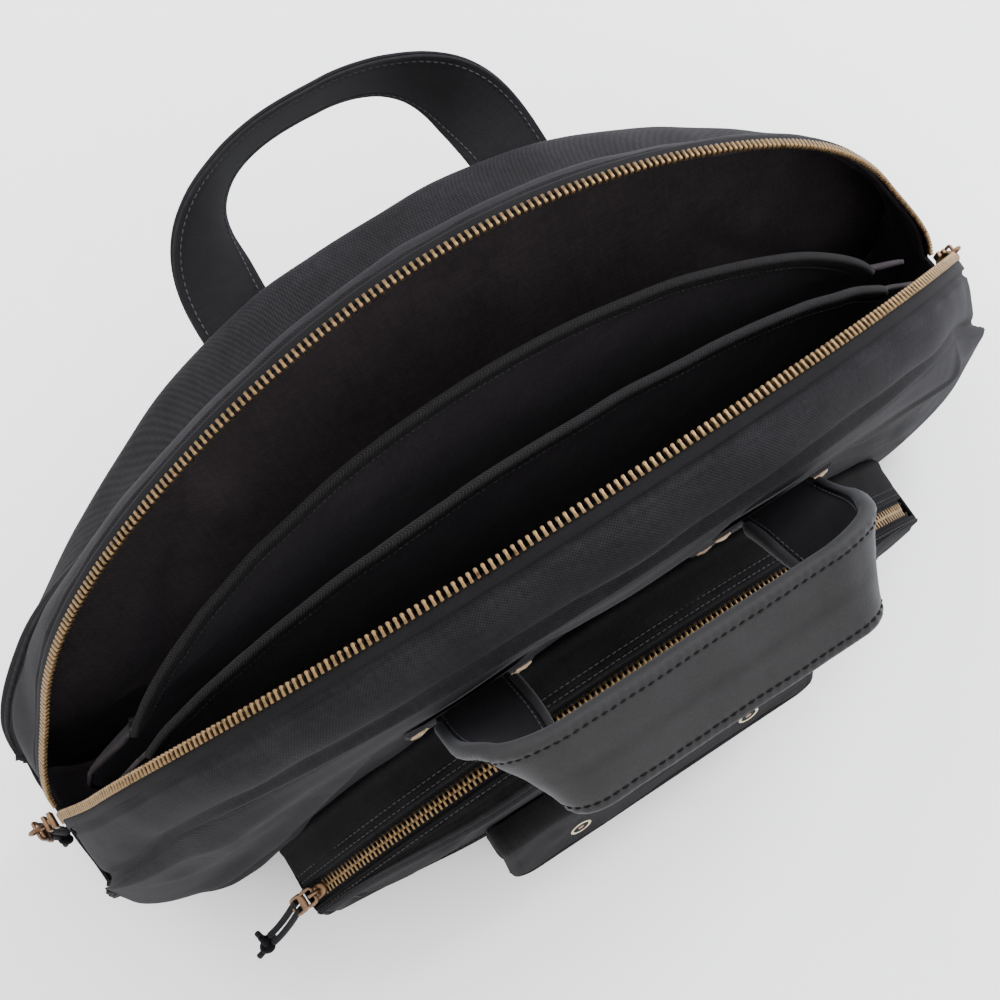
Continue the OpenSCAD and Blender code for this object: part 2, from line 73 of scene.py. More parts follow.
PATCH_X, PATCH_Z, PATCH_MID, PATCH_SEAM = 31.0, 28.0, -33.0, 4.0
BAND_ROWS, STRIP_ROWS = (3.4, 8.2), (2.8, 6.6)
LEAVES = ((-1, "bag", "front"), (1, "back_leaf", "back"))
END_X = POCKET_R * math.sin(POCKET_HALF)


# ---------------------------------------------------------------- small maths
def smooth(k):
    """0 below 0, 1 above 1 and a smooth step between them."""
    c = np.clip(k, 0, 1)
    return c * c * (3 - 2 * c)


def bump(d, width):
    """Bell that is 1 at d = 0."""
    return np.exp(-(d / width) ** 2)


def unit(v):
    """Vectors (..., 3) at length 1."""
    return v / np.maximum(np.linalg.norm(v, axis=-1, keepdims=True), 1e-12)


def hash01(i, j, k, seed):
    """Pseudo-random value from 0 to 1 for a lattice point."""
    n = (i * 374761393 + j * 668265263 + k * 2147483647 + seed * 974634777) & 0xFFFFFFFF
    n = ((n ^ (n >> 13)) * 1274126177) & 0xFFFFFFFF
    n = n ^ (n >> 16)
    return (n & 0xFFFF) / 65535.0


def vnoise(p, scale, seed):
    """Smooth value noise from -1 to 1 at points p (..., 3), lattice of the given size."""
    q = np.asarray(p, float) / scale
    c = np.floor(q).astype(np.int64)
    f = q - c
    f = f * f * (3 - 2 * f)
    total = 0
    for dx in (0, 1):
        for dy in (0, 1):
            for dz in (0, 1):
                w = (f[..., 0] if dx else 1 - f[..., 0]) * (f[..., 1] if dy else 1 - f[..., 1])
                w = w * (f[..., 2] if dz else 1 - f[..., 2])
                total = total + w * hash01(c[..., 0] + dx, c[..., 1] + dy, c[..., 2] + dz, seed)
    return total * 2 - 1


# ---------------------------------------------------------------- camera
def make_camera():
    """The camera of the main picture."""
    data = bpy.data.cameras.new("camera")
    cam = bpy.data.objects.new("camera", data)
    bpy.context.scene.collection.objects.link(cam)
    data.lens, data.sensor_width = 59.28, 36.0
    view = Vector((0.14325, 0.19811, -0.96966)).normalized()
    flat_right = view.cross(Vector((0, 1, 0))).normalized()
    flat_up = flat_right.cross(view)
    roll = 0.5896
    right = flat_right * math.cos(roll) - flat_up * math.sin(roll)
    up = flat_right * math.sin(roll) + flat_up * math.cos(roll)
    rot = Matrix((right, up, -view)).transposed()
    cam.matrix_world = Matrix.Translation((-0.11899, -0.14267, 0.91914)) @ rot.to_4x4()
    data.clip_start, data.clip_end = 0.01, 20
    bpy.context.scene.camera = cam


make_camera()


# ---------------------------------------------------------------- materials
class Shader:
    """A small helper around one node material."""

    def __init__(self, name):
        self.mat = bpy.data.materials.new(name)
        self.mat.use_nodes = True
        self.nt = self.mat.node_tree
        self.nt.nodes.clear()
        self.out = self.nt.nodes.new("ShaderNodeOutputMaterial")
        self.bsdf = self.nt.nodes.new("ShaderNodeBsdfPrincipled")
        self.link(self.bsdf.outputs[0], self.out.inputs["Surface"])

    def link(self, a, b):
        self.nt.links.new(a, b)

    def put(self, socket, value):
        if isinstance(value, bpy.types.NodeSocket):
            self.link(value, socket)
        else:
            socket.default_value = value

    def math(self, op, a, b=0.0, c=None):
        n = self.nt.nodes.new("ShaderNodeMath")
        n.operation = op
        self.put(n.inputs[0], a)
        self.put(n.inputs[1], b)
        if c is not None:
            self.put(n.inputs[2], c)
        return n.outputs[0]

    def uv(self):
        """The UV vector and its two numbers."""
        n = self.nt.nodes.new("ShaderNodeTexCoord")
        s = self.nt.nodes.new("ShaderNodeSeparateXYZ")
        self.link(n.outputs["UV"], s.inputs[0])
        return n.outputs["UV"], s.outputs[0], s.outputs[1]

    def place(self):
        return self.nt.nodes.new("ShaderNodeTexCoord").outputs["Object"]

    def noise(self, vector, scale, detail=3.0, rough=0.55):
        n = self.nt.nodes.new("ShaderNodeTexNoise")
        self.link(vector, n.inputs["Vector"])
        n.inputs["Scale"].default_value = scale
        n.inputs["Detail"].default_value = detail
        n.inputs["Roughness"].default_value = rough
        return n.outputs["Fac"]

    def stretch(self, vector, sx, sy, sz=1.0):
        n = self.nt.nodes.new("ShaderNodeMapping")
        self.link(vector, n.inputs["Vector"])
        n.inputs["Scale"].default_value = (sx, sy, sz)
        return n.outputs[0]

    def ramp(self, fac, stops):
        n = self.nt.nodes.new("ShaderNodeValToRGB")
        self.link(fac, n.inputs[0])
        r = n.color_ramp
        while len(r.elements) < len(stops):
            r.elements.new(0.5)
        for e, (pos, colour) in zip(r.elements, stops):
            e.position = pos
            e.color = (*colour, 1)
        return n.outputs[0]

    def attribute(self, name):
        n = self.nt.nodes.new("ShaderNodeAttribute")
        n.attribute_name = name
        return n.outputs["Fac"]

    def mix(self, fac, a, b):
        n = self.nt.nodes.new("ShaderNodeMix")
        n.data_type = "RGBA"
        self.put(n.inputs["Factor"], fac)
        for socket, value in ((n.inputs["A"], a), (n.inputs["B"], b)):
            self.put(socket, (*value, 1) if isinstance(value, tuple) else value)
        return n.outputs["Result"]

    def bump(self, height, distance, strength):
        n = self.nt.nodes.new("ShaderNodeBump")
        n.inputs["Distance"].default_value = distance
        n.inputs["Strength"].default_value = strength
        self.link(height, n.inputs["Height"])
        return n.outputs[0]

    def set(self, **values):
        for key, value in values.items():
            name = key.replace("_", " ")
            if isinstance(value, tuple):
                value = (*value, 1)
            self.put(self.bsdf.inputs[name], value)


def scaled(colour, k):
    """Colour made k times as bright."""
    return tuple(min(1.0, c * k) for c in colour)


def woven(name, colour, period, relief=0.00022, sheen=0.25, mottle=0.35, rib=1.0):
    """Plain-weave cloth; period is the width of one thread pair in metres."""
    s = Shader(name)
    vec, u, v = s.uv()
    wob = s.noise(s.stretch(vec, 90, 90), 1.0, 2.0)
    turn = 2 * math.pi / period
    pu = s.math("MULTIPLY_ADD", u, turn, s.math("MULTIPLY", wob, 1.6))
    pv = s.math("MULTIPLY_ADD", v, turn * rib, s.math("MULTIPLY", wob, -1.3))
    su = s.math("SINE", pu)
    sv = s.math("SINE", pv)
    cross = s.math("MULTIPLY_ADD", s.math("MULTIPLY", su, sv), 0.5, 0.5)
    slub_u = s.noise(s.stretch(vec, 1 / period / 16, 1 / period * 0.9), 1.0, 2.0)
    slub_v = s.noise(s.stretch(vec, 1 / period * 0.9, 1 / period / 16), 1.0, 2.0)
    slub = s.math("MULTIPLY_ADD", s.math("ADD", slub_u, slub_v), 0.55, -0.05)
    height = s.math("MULTIPLY_ADD", slub, 0.55, s.math("MULTIPLY", cross, 0.65))
    wide = s.noise(s.place(), 38.0, 4.0, 0.6)
    fine = s.noise(s.place(), 420.0, 2.0, 0.6)
    tone = s.math("MULTIPLY_ADD", s.math("SUBTRACT", height, 0.55), 1.0, 0.5)
    tone = s.math("MULTIPLY_ADD", s.math("SUBTRACT", wide, 0.5), mottle * 2, tone)
    tone = s.math("MULTIPLY_ADD", s.math("SUBTRACT", fine, 0.5), mottle * 1.3, tone)
    base = s.ramp(tone, [(0.05, scaled(colour, 0.38)), (0.5, colour), (0.98, scaled(colour, 2.1))])
    # Painted highlight and rubbed wear: the colour is lightened where the mesh's per-point attribute marks
    # raised ridges, seams and edges.
    wear_and_highlight = s.math("MULTIPLY", s.attribute("wear_and_highlight"), s.math("MULTIPLY_ADD", fine, 1.3, -0.1))
    base = s.mix(s.math("MULTIPLY", wear_and_highlight, 0.5), base, scaled(colour, 4.0))
    s.set(Base_Color=base, Roughness=0.86, Normal=s.bump(height, relief, 0.9))
    s.set(Sheen_Weight=sheen, Sheen_Roughness=0.45, Sheen_Tint=(0.86, 0.86, 1.0))
    s.set(Specular_IOR_Level=0.10)
    return s.mat


def herringbone(name, colour):
    """Slanting ribs that change direction from column to column."""
    period, column = 0.0016, 0.0055
    s = Shader(name)
    _, u, v = s.uv()
    side = s.math("SIGN", s.math("SINE", s.math("MULTIPLY", v, 2 * math.pi / column)))
    turn = 2 * math.pi / period
    slant = s.math("MULTIPLY", s.math("MULTIPLY", v, turn), side)
    wave = s.math("SINE", s.math("MULTIPLY_ADD", u, turn, slant))
    height = s.math("MULTIPLY_ADD", wave, 0.5, 0.5)
    fine = s.noise(s.place(), 500.0, 2.0)
    tone = s.math("MULTIPLY_ADD", fine, 0.5, s.math("MULTIPLY", height, 0.6))
    base = s.ramp(tone, [(0.1, scaled(colour, 0.4)), (0.55, colour), (0.95, scaled(colour, 2.0))])
    s.set(Base_Color=base, Roughness=0.8, Normal=s.bump(height, 0.0003, 0.9))
    s.set(Sheen_Weight=0.02, Sheen_Roughness=0.5, Specular_IOR_Level=0.12)
    return s.mat


def nubuck(name, colour):
    """Brushed leather: clouds of tone, streaks along the strap, fine pores."""
    s = Shader(name)
    at = s.place()
    grain = s.noise(at, 900.0, 5.0, 0.7)
    pores = s.noise(at, 2600.0, 2.0, 0.6)
    cloud = s.noise(at, 46.0, 5.0, 0.62)
    streak = s.noise(s.stretch(at, 30, 120, 120), 1.0, 4.0, 0.6)
    tone = s.math("MULTIPLY_ADD", s.math("SUBTRACT", cloud, 0.5), 1.5, 0.5)
    tone = s.math("MULTIPLY_ADD", s.math("SUBTRACT", streak, 0.5), 0.5, tone)
    tone = s.math("MULTIPLY_ADD", s.math("SUBTRACT", grain, 0.5), 0.7, tone)
    base = s.ramp(tone, [(0.1, scaled(colour, 0.62)), (0.5, colour), (0.9, scaled(colour, 1.55))])
    wear_and_highlight = s.math("MULTIPLY", s.attribute("wear_and_highlight"), s.math("MULTIPLY_ADD", grain, 1.2, -0.1))
    base = s.mix(s.math("MULTIPLY", wear_and_highlight, 0.5), base, scaled(colour, 2.4))
    height = s.math("MULTIPLY_ADD", pores, 0.35, s.math("MULTIPLY", grain, 0.65))
    rough = s.math("MULTIPLY_ADD", cloud, 0.2, 0.6)
    s.set(Base_Color=base, Roughness=rough, Normal=s.bump(height, 0.00025, 0.7))
    s.set(Sheen_Weight=0.08, Sheen_Roughness=0.4, Sheen_Tint=(0.88, 0.9, 1.0), Specular_IOR_Level=0.22)
    return s.mat


def metal(name, colour, dark, rough):
    """Aged metal with dark spots."""
    s = Shader(name)
    at = s.place()
    spots = s.noise(at, 260.0, 5.0, 0.7)
    fine = s.noise(at, 1800.0, 3.0, 0.6)
    tone = s.math("MULTIPLY_ADD", fine, 0.25, spots)
    base = s.ramp(tone, [(0.37, dark), (0.62, colour), (0.95, scaled(colour, 1.15))])
    s.set(Base_Color=base, Metallic=1.0, Roughness=s.math("MULTIPLY_ADD", spots, 0.35, rough - 0.1))
    s.set(Normal=s.bump(fine, 0.00008, 0.5))
    return s.mat


def plain_paint(name, colour):
    """Matt paint with barely visible clouds."""
    s = Shader(name)
    fine = s.noise(s.place(), 30.0, 2.0)
    base = s.ramp(fine, [(0.2, scaled(colour, 0.98)), (0.8, colour)])
    s.set(Base_Color=base, Roughness=0.6, Specular_IOR_Level=0.2)
    return s.mat


CANVAS = woven("canvas_outer", (0.0072, 0.0068, 0.0078), 0.0015, sheen=0.02)
CANVAS_POCKET = woven("canvas_pocket", (0.0048, 0.0045, 0.0050), 0.0014, sheen=0.012)
LINING = woven("lining_twill", (0.0260, 0.0215, 0.0235), 0.0012, sheen=0.03, mottle=0.25)
STRAP = woven("strap_canvas", (0.0062, 0.0060, 0.0068), 0.0009, relief=0.00012, sheen=0.02, mottle=0.18)
TAPE = woven("zip_tape_weave", (0.0045, 0.0042, 0.0048), 0.0008, relief=0.00012, sheen=0.02, rib=0.5,
             mottle=0.2)
TWILL = herringbone("binding_herringbone", (0.0085, 0.0080, 0.0085))
THREAD = woven("sewing_thread", (0.034, 0.033, 0.037), 0.0006, relief=0.00005, sheen=0.03, mottle=0.4)
DARK_THREAD = woven("grip_thread", (0.003, 0.003, 0.0032), 0.0006, relief=0.00005, sheen=0.02)
LEATHER = nubuck("grip_nubuck", (0.0092, 0.0090, 0.0095))
BRASS = metal("antique_brass", (0.19, 0.122, 0.060), (0.026, 0.016, 0.009), 0.36)
COPPER = metal("antique_copper", (0.17, 0.098, 0.056), (0.04, 0.023, 0.014), 0.38)
SNAP_BRASS = metal("snap_brass", (0.50, 0.42, 0.28), (0.2, 0.15, 0.08), 0.3)
RIVET = metal("rivet_metal", (0.24, 0.165, 0.10), (0.07, 0.045, 0.028), 0.36)
CORDAGE = woven("cord_braid", (0.0040, 0.0040, 0.0048), 0.0016, relief=0.0004, sheen=0.05)
FLOOR = plain_paint("floor_white", (0.97, 0.97, 0.97))
OUTER = (CANVAS, LINING)


# ---------------------------------------------------------------- mesh makers
def placed(mesh, *mats):
    """The object of a mesh, smooth shaded, in the scene."""
    for m in mats:
        mesh.materials.append(m)
    mesh.polygons.foreach_set("use_smooth", [True] * len(mesh.polygons))
    mesh.update()
    o = bpy.data.objects.new(mesh.name, mesh)
    bpy.context.scene.collection.objects.link(o)
    return o


def from_lists(name, verts, faces, mat):
    """The object of vertices in metres and faces."""
    mesh = bpy.data.meshes.new(name)
    mesh.from_pydata(verts, [], faces)
    mesh.uv_layers.new(name="UVMap")
    return placed(mesh, mat)


def from_bmesh(name, bm, matrix, mat):
    """The object of a bmesh in millimetres, moved by matrix."""
    bm.transform(matrix)
    bmesh.ops.scale(bm, vec=(MM, MM, MM), verts=bm.verts)
    mesh = bpy.data.meshes.new(name)
    bm.to_mesh(mesh)
    bm.free()
    mesh.uv_layers.new(name="UVMap")
    return placed(mesh, mat)


def dress(o, slot, body="bag", *cad):
    """Puts o on its body and hides the CAD nodes it stands for; slot is not used."""
    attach(o, body)
    if cad:
        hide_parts(*cad)


def square(us, vs):
    """Two arrays (nu, nv): us along the rows, vs along the columns."""
    return np.meshgrid(us, vs, indexing="ij")


def distances(path):
    """Length run along a polyline at each of its points."""
    return np.concatenate([[0], np.cumsum(np.linalg.norm(np.diff(path, axis=0), axis=1))])


def resample(path, n):
    """n evenly spaced points of a polyline, with the length run at each."""
    L = distances(path)
    at = np.linspace(0, L[-1], n)
    return np.stack([np.interp(at, L, path[:, k]) for k in range(path.shape[1])], -1), at


def lengths(P, axis):
    """Length run along the rows or columns of the grid P."""
    d = np.linalg.norm(np.diff(P, axis=axis), axis=-1)
    pad = [(0, 0), (0, 0)]
    pad[axis] = (1, 0)
    return np.cumsum(np.pad(d, pad), axis=axis)


def grid(name, P, mats, uv=None, wear_and_highlight=None, thick=0.0, flip=False, closed=False):
    """Mesh of the grid P (nu, nv, 3) in millimetres; mats is one material, or those outside and inside."""
    nu, nv = P.shape[:2]
    mats = mats if isinstance(mats, tuple) else (mats,)
    if uv is None:
        U = lengths(P, 0).mean(axis=1, keepdims=True) * np.ones((1, nv))
        V = lengths(P, 1)
        uv = np.stack([U, V - V.mean(axis=1, keepdims=True)], axis=-1)
    i, j = square(np.arange(nu if closed else nu - 1), np.arange(nv - 1))
    a = i * nv + j
    b = ((i + 1) % nu) * nv + j
    quads = np.stack([a, b, b + 1, a + 1], axis=-1).reshape(-1, 4)
    if flip:
        quads = quads[:, ::-1]
    mesh = bpy.data.meshes.new(name)
    mesh.from_pydata((P.reshape(-1, 3) * MM).tolist(), [], quads.tolist())
    layer = mesh.uv_layers.new(name="UVMap")
    flat = (uv.reshape(-1, 2) * MM)[quads.reshape(-1)]
    layer.data.foreach_set("uv", flat.astype(np.float32).reshape(-1))
    # Per-point lightening read by the cloth shaders: rubbed wear, and painted highlight on raised ridges,
    # seams and edges.
    attr = mesh.attributes.new("wear_and_highlight", "FLOAT", "POINT")
    w = np.zeros(nu * nv) if wear_and_highlight is None else np.asarray(wear_and_highlight, float).reshape(-1)
    attr.data.foreach_set("value", w.astype(np.float32))
    o = placed(mesh, *mats)
    if thick:
        m = o.modifiers.new("thick", "SOLIDIFY")
        m.thickness, m.offset = thick * MM, -1
        m.material_offset = len(mats) - 1
        m.use_quality_normals = True
    return o


def normals(P):
    """Normals of the grid P."""
    du = np.gradient(P, axis=0)
    dv = np.gradient(P, axis=1)
    return unit(np.cross(du, dv))


def frames(path):
    """Tangents of a polyline (n, 3)."""
    return unit(np.gradient(path, axis=0))


def tube(name, path, radius, mat, sides=12, closed=False):
    """Round tube along a path in millimetres, with twist-free rings."""
    path = np.asarray(path, float)
    n = len(path)
    if closed:
        t = unit(np.roll(path, -1, 0) - np.roll(path, 1, 0))
    else:
        t = frames(path)
    side = np.zeros_like(path)
    ref = np.array([0.31, 0.87, 0.38])
    s = np.cross(t[0], ref)
    side[0] = s / np.linalg.norm(s)
    for k in range(1, n):
        s = side[k - 1] - t[k] * np.dot(side[k - 1], t[k])
        side[k] = s / np.linalg.norm(s)
    other = np.cross(t, side)
    ang = np.linspace(0, 2 * np.pi, sides, endpoint=False)
    r = np.broadcast_to(np.asarray(radius, float), (n,))
    P = path[:, None] + (side[:, None] * np.cos(ang)[None, :, None]
                         + other[:, None] * np.sin(ang)[None, :, None]) * r[:, None, None]
    verts = [tuple(v) for v in (P.reshape(-1, 3) * MM)]
    faces, uvs = [], []
    L = distances(path)
    for k in range(n if closed else n - 1):
        k2 = (k + 1) % n
        l2 = L[k] + (L[1] - L[0]) if k2 == 0 else L[k2]
        for j in range(sides):
            j2 = (j + 1) % sides
            faces.append((k * sides + j, k * sides + j2, k2 * sides + j2, k2 * sides + j))
            rr = r[k] * 2 * np.pi
            uvs += [(L[k], rr * j / sides), (L[k], rr * (j + 1) / sides),
                    (l2, rr * (j + 1) / sides), (l2, rr * j / sides)]
    if not closed:
        for k, order in ((0, -1), (n - 1, 1)):
            faces.append(tuple(k * sides + j for j in range(sides))[::order])
            uvs += [(L[k], 0.0)] * sides
    mesh = bpy.data.meshes.new(name)
    mesh.from_pydata(verts, [], faces)
    layer = mesh.uv_layers.new(name="UVMap")
    layer.data.foreach_set("uv", (np.array(uvs, np.float32) * MM).reshape(-1))
    return placed(mesh, mat)


def many(name, template, matrices, mat):
    """One mesh made of copies of a bmesh template; matrices is (n, 3, 4) in millimetres."""
    template.verts.ensure_lookup_table()
    V = np.array([v.co[:] for v in template.verts])
    F = [[v.index for v in f.verts] for f in template.faces]
    M = np.asarray(matrices, float)
    pts = np.einsum("nij,vj->nvi", M[:, :, :3], V) + M[:, None, :, 3]
    faces = []
    for k in range(len(M)):
        off = k * len(V)
        faces += [[i + off for i in f] for f in F]
    return from_lists(name, (pts.reshape(-1, 3) * MM).tolist(), faces, mat)


def skin(bm, rings, closed=True):
    """Faces between rings of vertices and, if closed, over both ends."""
    n = len(rings[0])
    for lo, hi in zip(rings, rings[1:]):
        for j in range(n):
            bm.faces.new((lo[j], lo[(j + 1) % n], hi[(j + 1) % n], hi[j]))
    if closed:
        bm.faces.new(rings[-1])
        bm.faces.new(rings[0][::-1])
        bmesh.ops.recalc_face_normals(bm, faces=bm.faces[:])


def rounded(v, power):
    """v to a power, with its sign kept; turns a circle's sine and cosine into a rounded box's."""
    return math.copysign(abs(v) ** power, v)


def stitch_template(length, width, height):
    """A sewn stitch: a short plump thread that dips at both ends."""
    bm = bmesh.new()
    n, sides = 5, 6
    rings = []
    for k in range(n):
        t = k / (n - 1)
        r = 0.5 + 0.5 * math.sin(math.pi * t)
        z = height * (math.sin(math.pi * t) - 0.45)
        ring = []
        for j in range(sides):
            a = 2 * math.pi * j / sides
            ring.append(bm.verts.new(((t - 0.5) * length, math.cos(a) * width * 0.5 * r,
                                      z + math.sin(a) * width * 0.42 * r)))
        rings.append(ring)
    skin(bm, rings, closed=False)
    bm.verts.index_update()
    return bm


def path_matrices(path, up, pitch):
    """Frames every pitch along a polyline: X along it, Z along up."""
    L = distances(path)
    n = max(1, int(L[-1] / pitch))
    at = (np.arange(n) + 0.5) * L[-1] / n
    p = np.stack([np.interp(at, L, path[:, k]) for k in range(3)], -1)
    t = unit(np.stack([np.interp(at, L, frames(path)[:, k]) for k in range(3)], -1))
    u = unit(np.stack([np.interp(at, L, np.asarray(up)[:, k]) for k in range(3)], -1))
    y = unit(np.cross(u, t))
    z = np.cross(t, y)
    return np.stack([t, y, z, p], axis=-1)


def stitches(name, path, up, slot="canvas", body="bag", mat=THREAD, pitch=3.2, width=0.75, height=0.35,
             lift=0.1):
    """A row of stitches along path that stands lift proud of it; up is the cloth's normal."""
    path = np.asarray(path, float) + unit(np.asarray(up, float)) * lift
    M = path_matrices(path, up, pitch)
    dress(many(name, stitch_template(pitch * 0.74, width, height), M, mat), slot, body)


def lathe(name, profile, centre, axis, mat, segments=40):
    """Turned piece; profile is a list of (radius, height) in millimetres along axis from centre."""
    axis = Vector(axis).normalized()
    a = axis.orthogonal().normalized()
    b = axis.cross(a)
    c = Vector(centre)
    verts, faces = [], []
    n = len(profile)
    for k in range(segments):
        t = 2 * math.pi * k / segments
        d = a * math.cos(t) + b * math.sin(t)
        verts += [tuple((c + d * r + axis * h) * MM) for r, h in profile]
    for k in range(segments):
        k2 = (k + 1) % segments
        for j in range(n - 1):
            faces.append((k * n + j, k2 * n + j, k2 * n + j + 1, k * n + j + 1))
    faces.append(tuple(k * n + n - 1 for k in range(segments)))
    faces.append(tuple(k * n for k in reversed(range(segments))))
    return from_lists(name, verts, faces, mat)


def bevelled(name, parts, mat, matrix, bevel):
    """Boxes (centre, size) in millimetres with rounded edges, in the frame of matrix."""
    bm = bmesh.new()
    for centre, size in parts:
        r = bmesh.ops.create_cube(bm, size=1.0)
        bmesh.ops.scale(bm, vec=size, verts=r["verts"])
        bmesh.ops.translate(bm, vec=centre, verts=r["verts"])
    bmesh.ops.bevel(bm, geom=bm.edges[:], offset=bevel, segments=2, profile=0.6, affect="EDGES")
    return from_bmesh(name, bm, matrix, mat)


def joined(name, objects):
    """Joins mesh objects that share one material."""
    first = objects[0]
    bpy.ops.object.select_all(action="DESELECT")
    for o in objects:
        o.select_set(True)
    bpy.context.view_layer.objects.active = first
    bpy.ops.object.join()
    first.name = name
    return first


# ---------------------------------------------------------------- surfaces of the CAD, repeated
def leaf_axes(side):
    """Directions up along a leaf of the mouth and out of it; side is -1 in front, 1 at the back."""
    s, c = math.sin(LEAN[side]), math.cos(LEAN[side])
    return np.array([0, side * s, c]), np.array([0, side * c, -s])


def end_k(a):
    """1 at the zip ends, 0 over the arch; a runs from 0 (right end) to pi (left end)."""
    return 1 - smooth(np.sin(a) / 0.38)


def shear(z):
    """How far the side walls lean back at height z."""
    return END_Y * smooth(np.asarray(z) / 95)


def zip_row(side, a):
    """Centre line of one row of teeth of the main zip."""
    t, e = np.sin(a), end_k(a)
    b1, b2 = BOW[side]
    s, c = math.sin(LEAN[side]), math.cos(LEAN[side])
    return np.stack([(A + SPREAD * e) * np.cos(a), END_Y * e + side * (H * t * s + b1 * t**3 + b2 * t**4),
                     ZE + H * t * c], -1)


def arch_out(side, a):
    """Direction away from the middle of the arch, within its leaf."""
    up, _ = leaf_axes(side)
    r = unit(np.stack([np.cos(a) / A, np.sin(a) / H], -1))
    return r[..., :1] * np.array([1.0, 0, 0]) + r[..., 1:] * up


def band(side, a, s):
    """Point of the curled gusset band at distance s from the teeth."""
    a, s = np.broadcast_arrays(np.asarray(a, float), np.asarray(s, float))
    curled = smooth(np.sin(a) / 0.45) if side < 0 else smooth((np.sin(a) - 0.1) / 0.75)
    bend = np.maximum(math.radians(0.5), CURL * curled)
    b = bend / W
    f = FLARE + (END_FLARE[side] - FLARE) * end_k(a)
    along = (np.sin(f + b * s) - np.sin(f)) / b
    inward = (np.cos(f) - np.cos(f + b * s)) / b
    _, out = leaf_axes(side)
    return zip_row(side, a) + out * along[..., None] - arch_out(side, a) * inward[..., None]


def band_normal(side, a, s):
    """Outer normal of the gusset band."""
    e = 1e-3
    du = band(side, a + e, s) - band(side, a - e, s)
    dv = band(side, a, np.asarray(s) + 0.5) - band(side, a, np.asarray(s) - 0.5)
    n = unit(np.cross(du, dv))
    return n if side > 0 else -n


def tooth_s(a):
    """Where the teeth start across the band; they close up towards the zip ends."""
    k = smooth(np.sin(a) / 0.15)
    return 0.4 * (1 - k) - 0.5 * TOOTH * k


def half_width(y):
    """Half width of the body below the zip at depth y."""
    flare = np.where(y < 0, math.sin(END_FLARE[-1]), math.sin(END_FLARE[1]))
    return ZIP_X - W * np.minimum(1, np.abs(y) / W) * flare


def lower_outline(k, y, top):
    """Outline down one side, along the floor and up the other, for k from 0 (left) to 1."""
    k, y, top = np.broadcast_arrays(*(np.asarray(q, float) for q in (k, y, top)))
    hw = half_width(y)
    side = top - CORNER
    arc = CORNER * math.pi / 2
    full = 2 * side + 2 * arc + 2 * (hw - CORNER)
    d = k * full
    sx = np.where(d <= full / 2, -1.0, 1.0)
    e = np.minimum(d, full - d)
    ang = (e - side) / CORNER
    x = np.where(e <= side, hw, np.where(e <= side + arc, hw - CORNER + CORNER * np.cos(ang),
                                         hw - CORNER - (e - side - arc)))
    z = np.where(e <= side, top - e, np.where(e <= side + arc, CORNER - CORNER * np.sin(ang), 0.0))
    return np.stack([sx * x, y + shear(z), z], -1)


def at_level(P, level, value):
    """Points of the grid P (nu, nv, 3) where level (nu, nv) passes value, one for each row."""
    out = np.empty((len(P), 3))
    for k in range(len(P)):
        order = np.argsort(level[k])
        out[k] = [np.interp(value, level[k][order], P[k, order, c]) for c in range(3)]
    return out


# ---------------------------------------------------------------- gusset bands beside the main zip
def make_band(side, body, prefix):
    """Cloth between a panel and the main zip, with its two seams."""
    na, ns = 460, 44
    a = np.linspace(0, math.pi, na)[:, None]
    start = tooth_s(a) + TOOTH + 1.5
    v = np.linspace(0, 1, ns)[None, :] ** 0.85
    s = start + (W + 0.6 - start) * v
    P = band(side, a, s)
    N = band_normal(side, a, s)
    from_edge = s - start
    lift = 1.3 * np.sqrt(np.clip(from_edge / 1.1, 0, 1)) + 0.25
    run = lengths(P, 0)
    for k, row in enumerate(BAND_ROWS):
        lift = lift - 0.38 * bump(from_edge - row, 0.9)
        lift = lift + 0.22 * bump(from_edge - row, 2.6) * np.sin(run / 5.7 + k + 2.1 * np.sin(run / 31))
    lift = lift + 0.7 * bump(from_edge - 5.8, 1.6)
    ridge = W + 0.6 - s
    lift = lift + 2.0 * bump(ridge - 5.2, 3.2) - 2.6 * bump(ridge, 2.4)
    mid = smooth(from_edge / 14) * smooth(ridge / 8)
    lift = lift + mid * (1.3 * vnoise(P, 55, 3 + side) + 0.6 * vnoise(P, 21, 9 + side))
    lift = lift + mid * 0.5 * np.sin((run * 0.9 + s * 1.4) / 9.0) * smooth(vnoise(P, 70, 12 + side) * 2)
    P = P + N * lift[..., None]
    # Painted highlight and rubbed wear: lighter along the rolled edge by the teeth, on the small puff and on
    # top of the seam welt, where the ridge catches the light.
    wear_and_highlight = 0.55 * bump(from_edge - 0.3, 0.8) + 0.7 * bump(ridge - 5.2, 1.8)
    wear_and_highlight = wear_and_highlight + 0.25 * bump(from_edge - 5.8, 1.0)
    o = grid(prefix + "_gusset_band", P, OUTER, wear_and_highlight=wear_and_highlight, thick=2.0, flip=side > 0)
    dress(o, "canvas", body, prefix + "_top_band")
    for k, row in enumerate(BAND_ROWS):
        path, nn = (at_level(Q, from_edge, row)[3:-3] for Q in (P, N))
        stitches(f"{prefix}_band_stitch_{k + 1}", path, nn, body=body, pitch=4.2, width=1.0, height=0.5,
                 lift=0.45)


for leaf in LEAVES:
    make_band(*leaf)


# ---------------------------------------------------------------- zips
def tooth_template():
    """Clamped tooth with a rounded head; X points from the head to the tape, Z up."""
    bm = bmesh.new()
    outline = [(-2.25, 0.42), (-1.9, 0.72), (-1.0, 0.80), (-0.5, 0.62), (2.1, 0.74), (2.25, 0.5)]
    pts = outline + [(x, -y) for x, y in reversed(outline)]
    levels = [(-1.25, 0.72), (-1.05, 1.0), (0.95, 1.0), (1.3, 0.7)]
    rings = [[bm.verts.new((x * (1 - (1 - k) * 0.25), y * k, z)) for x, y in pts] for z, k in levels]
    skin(bm, rings)
    bm.verts.index_update()
    return bm


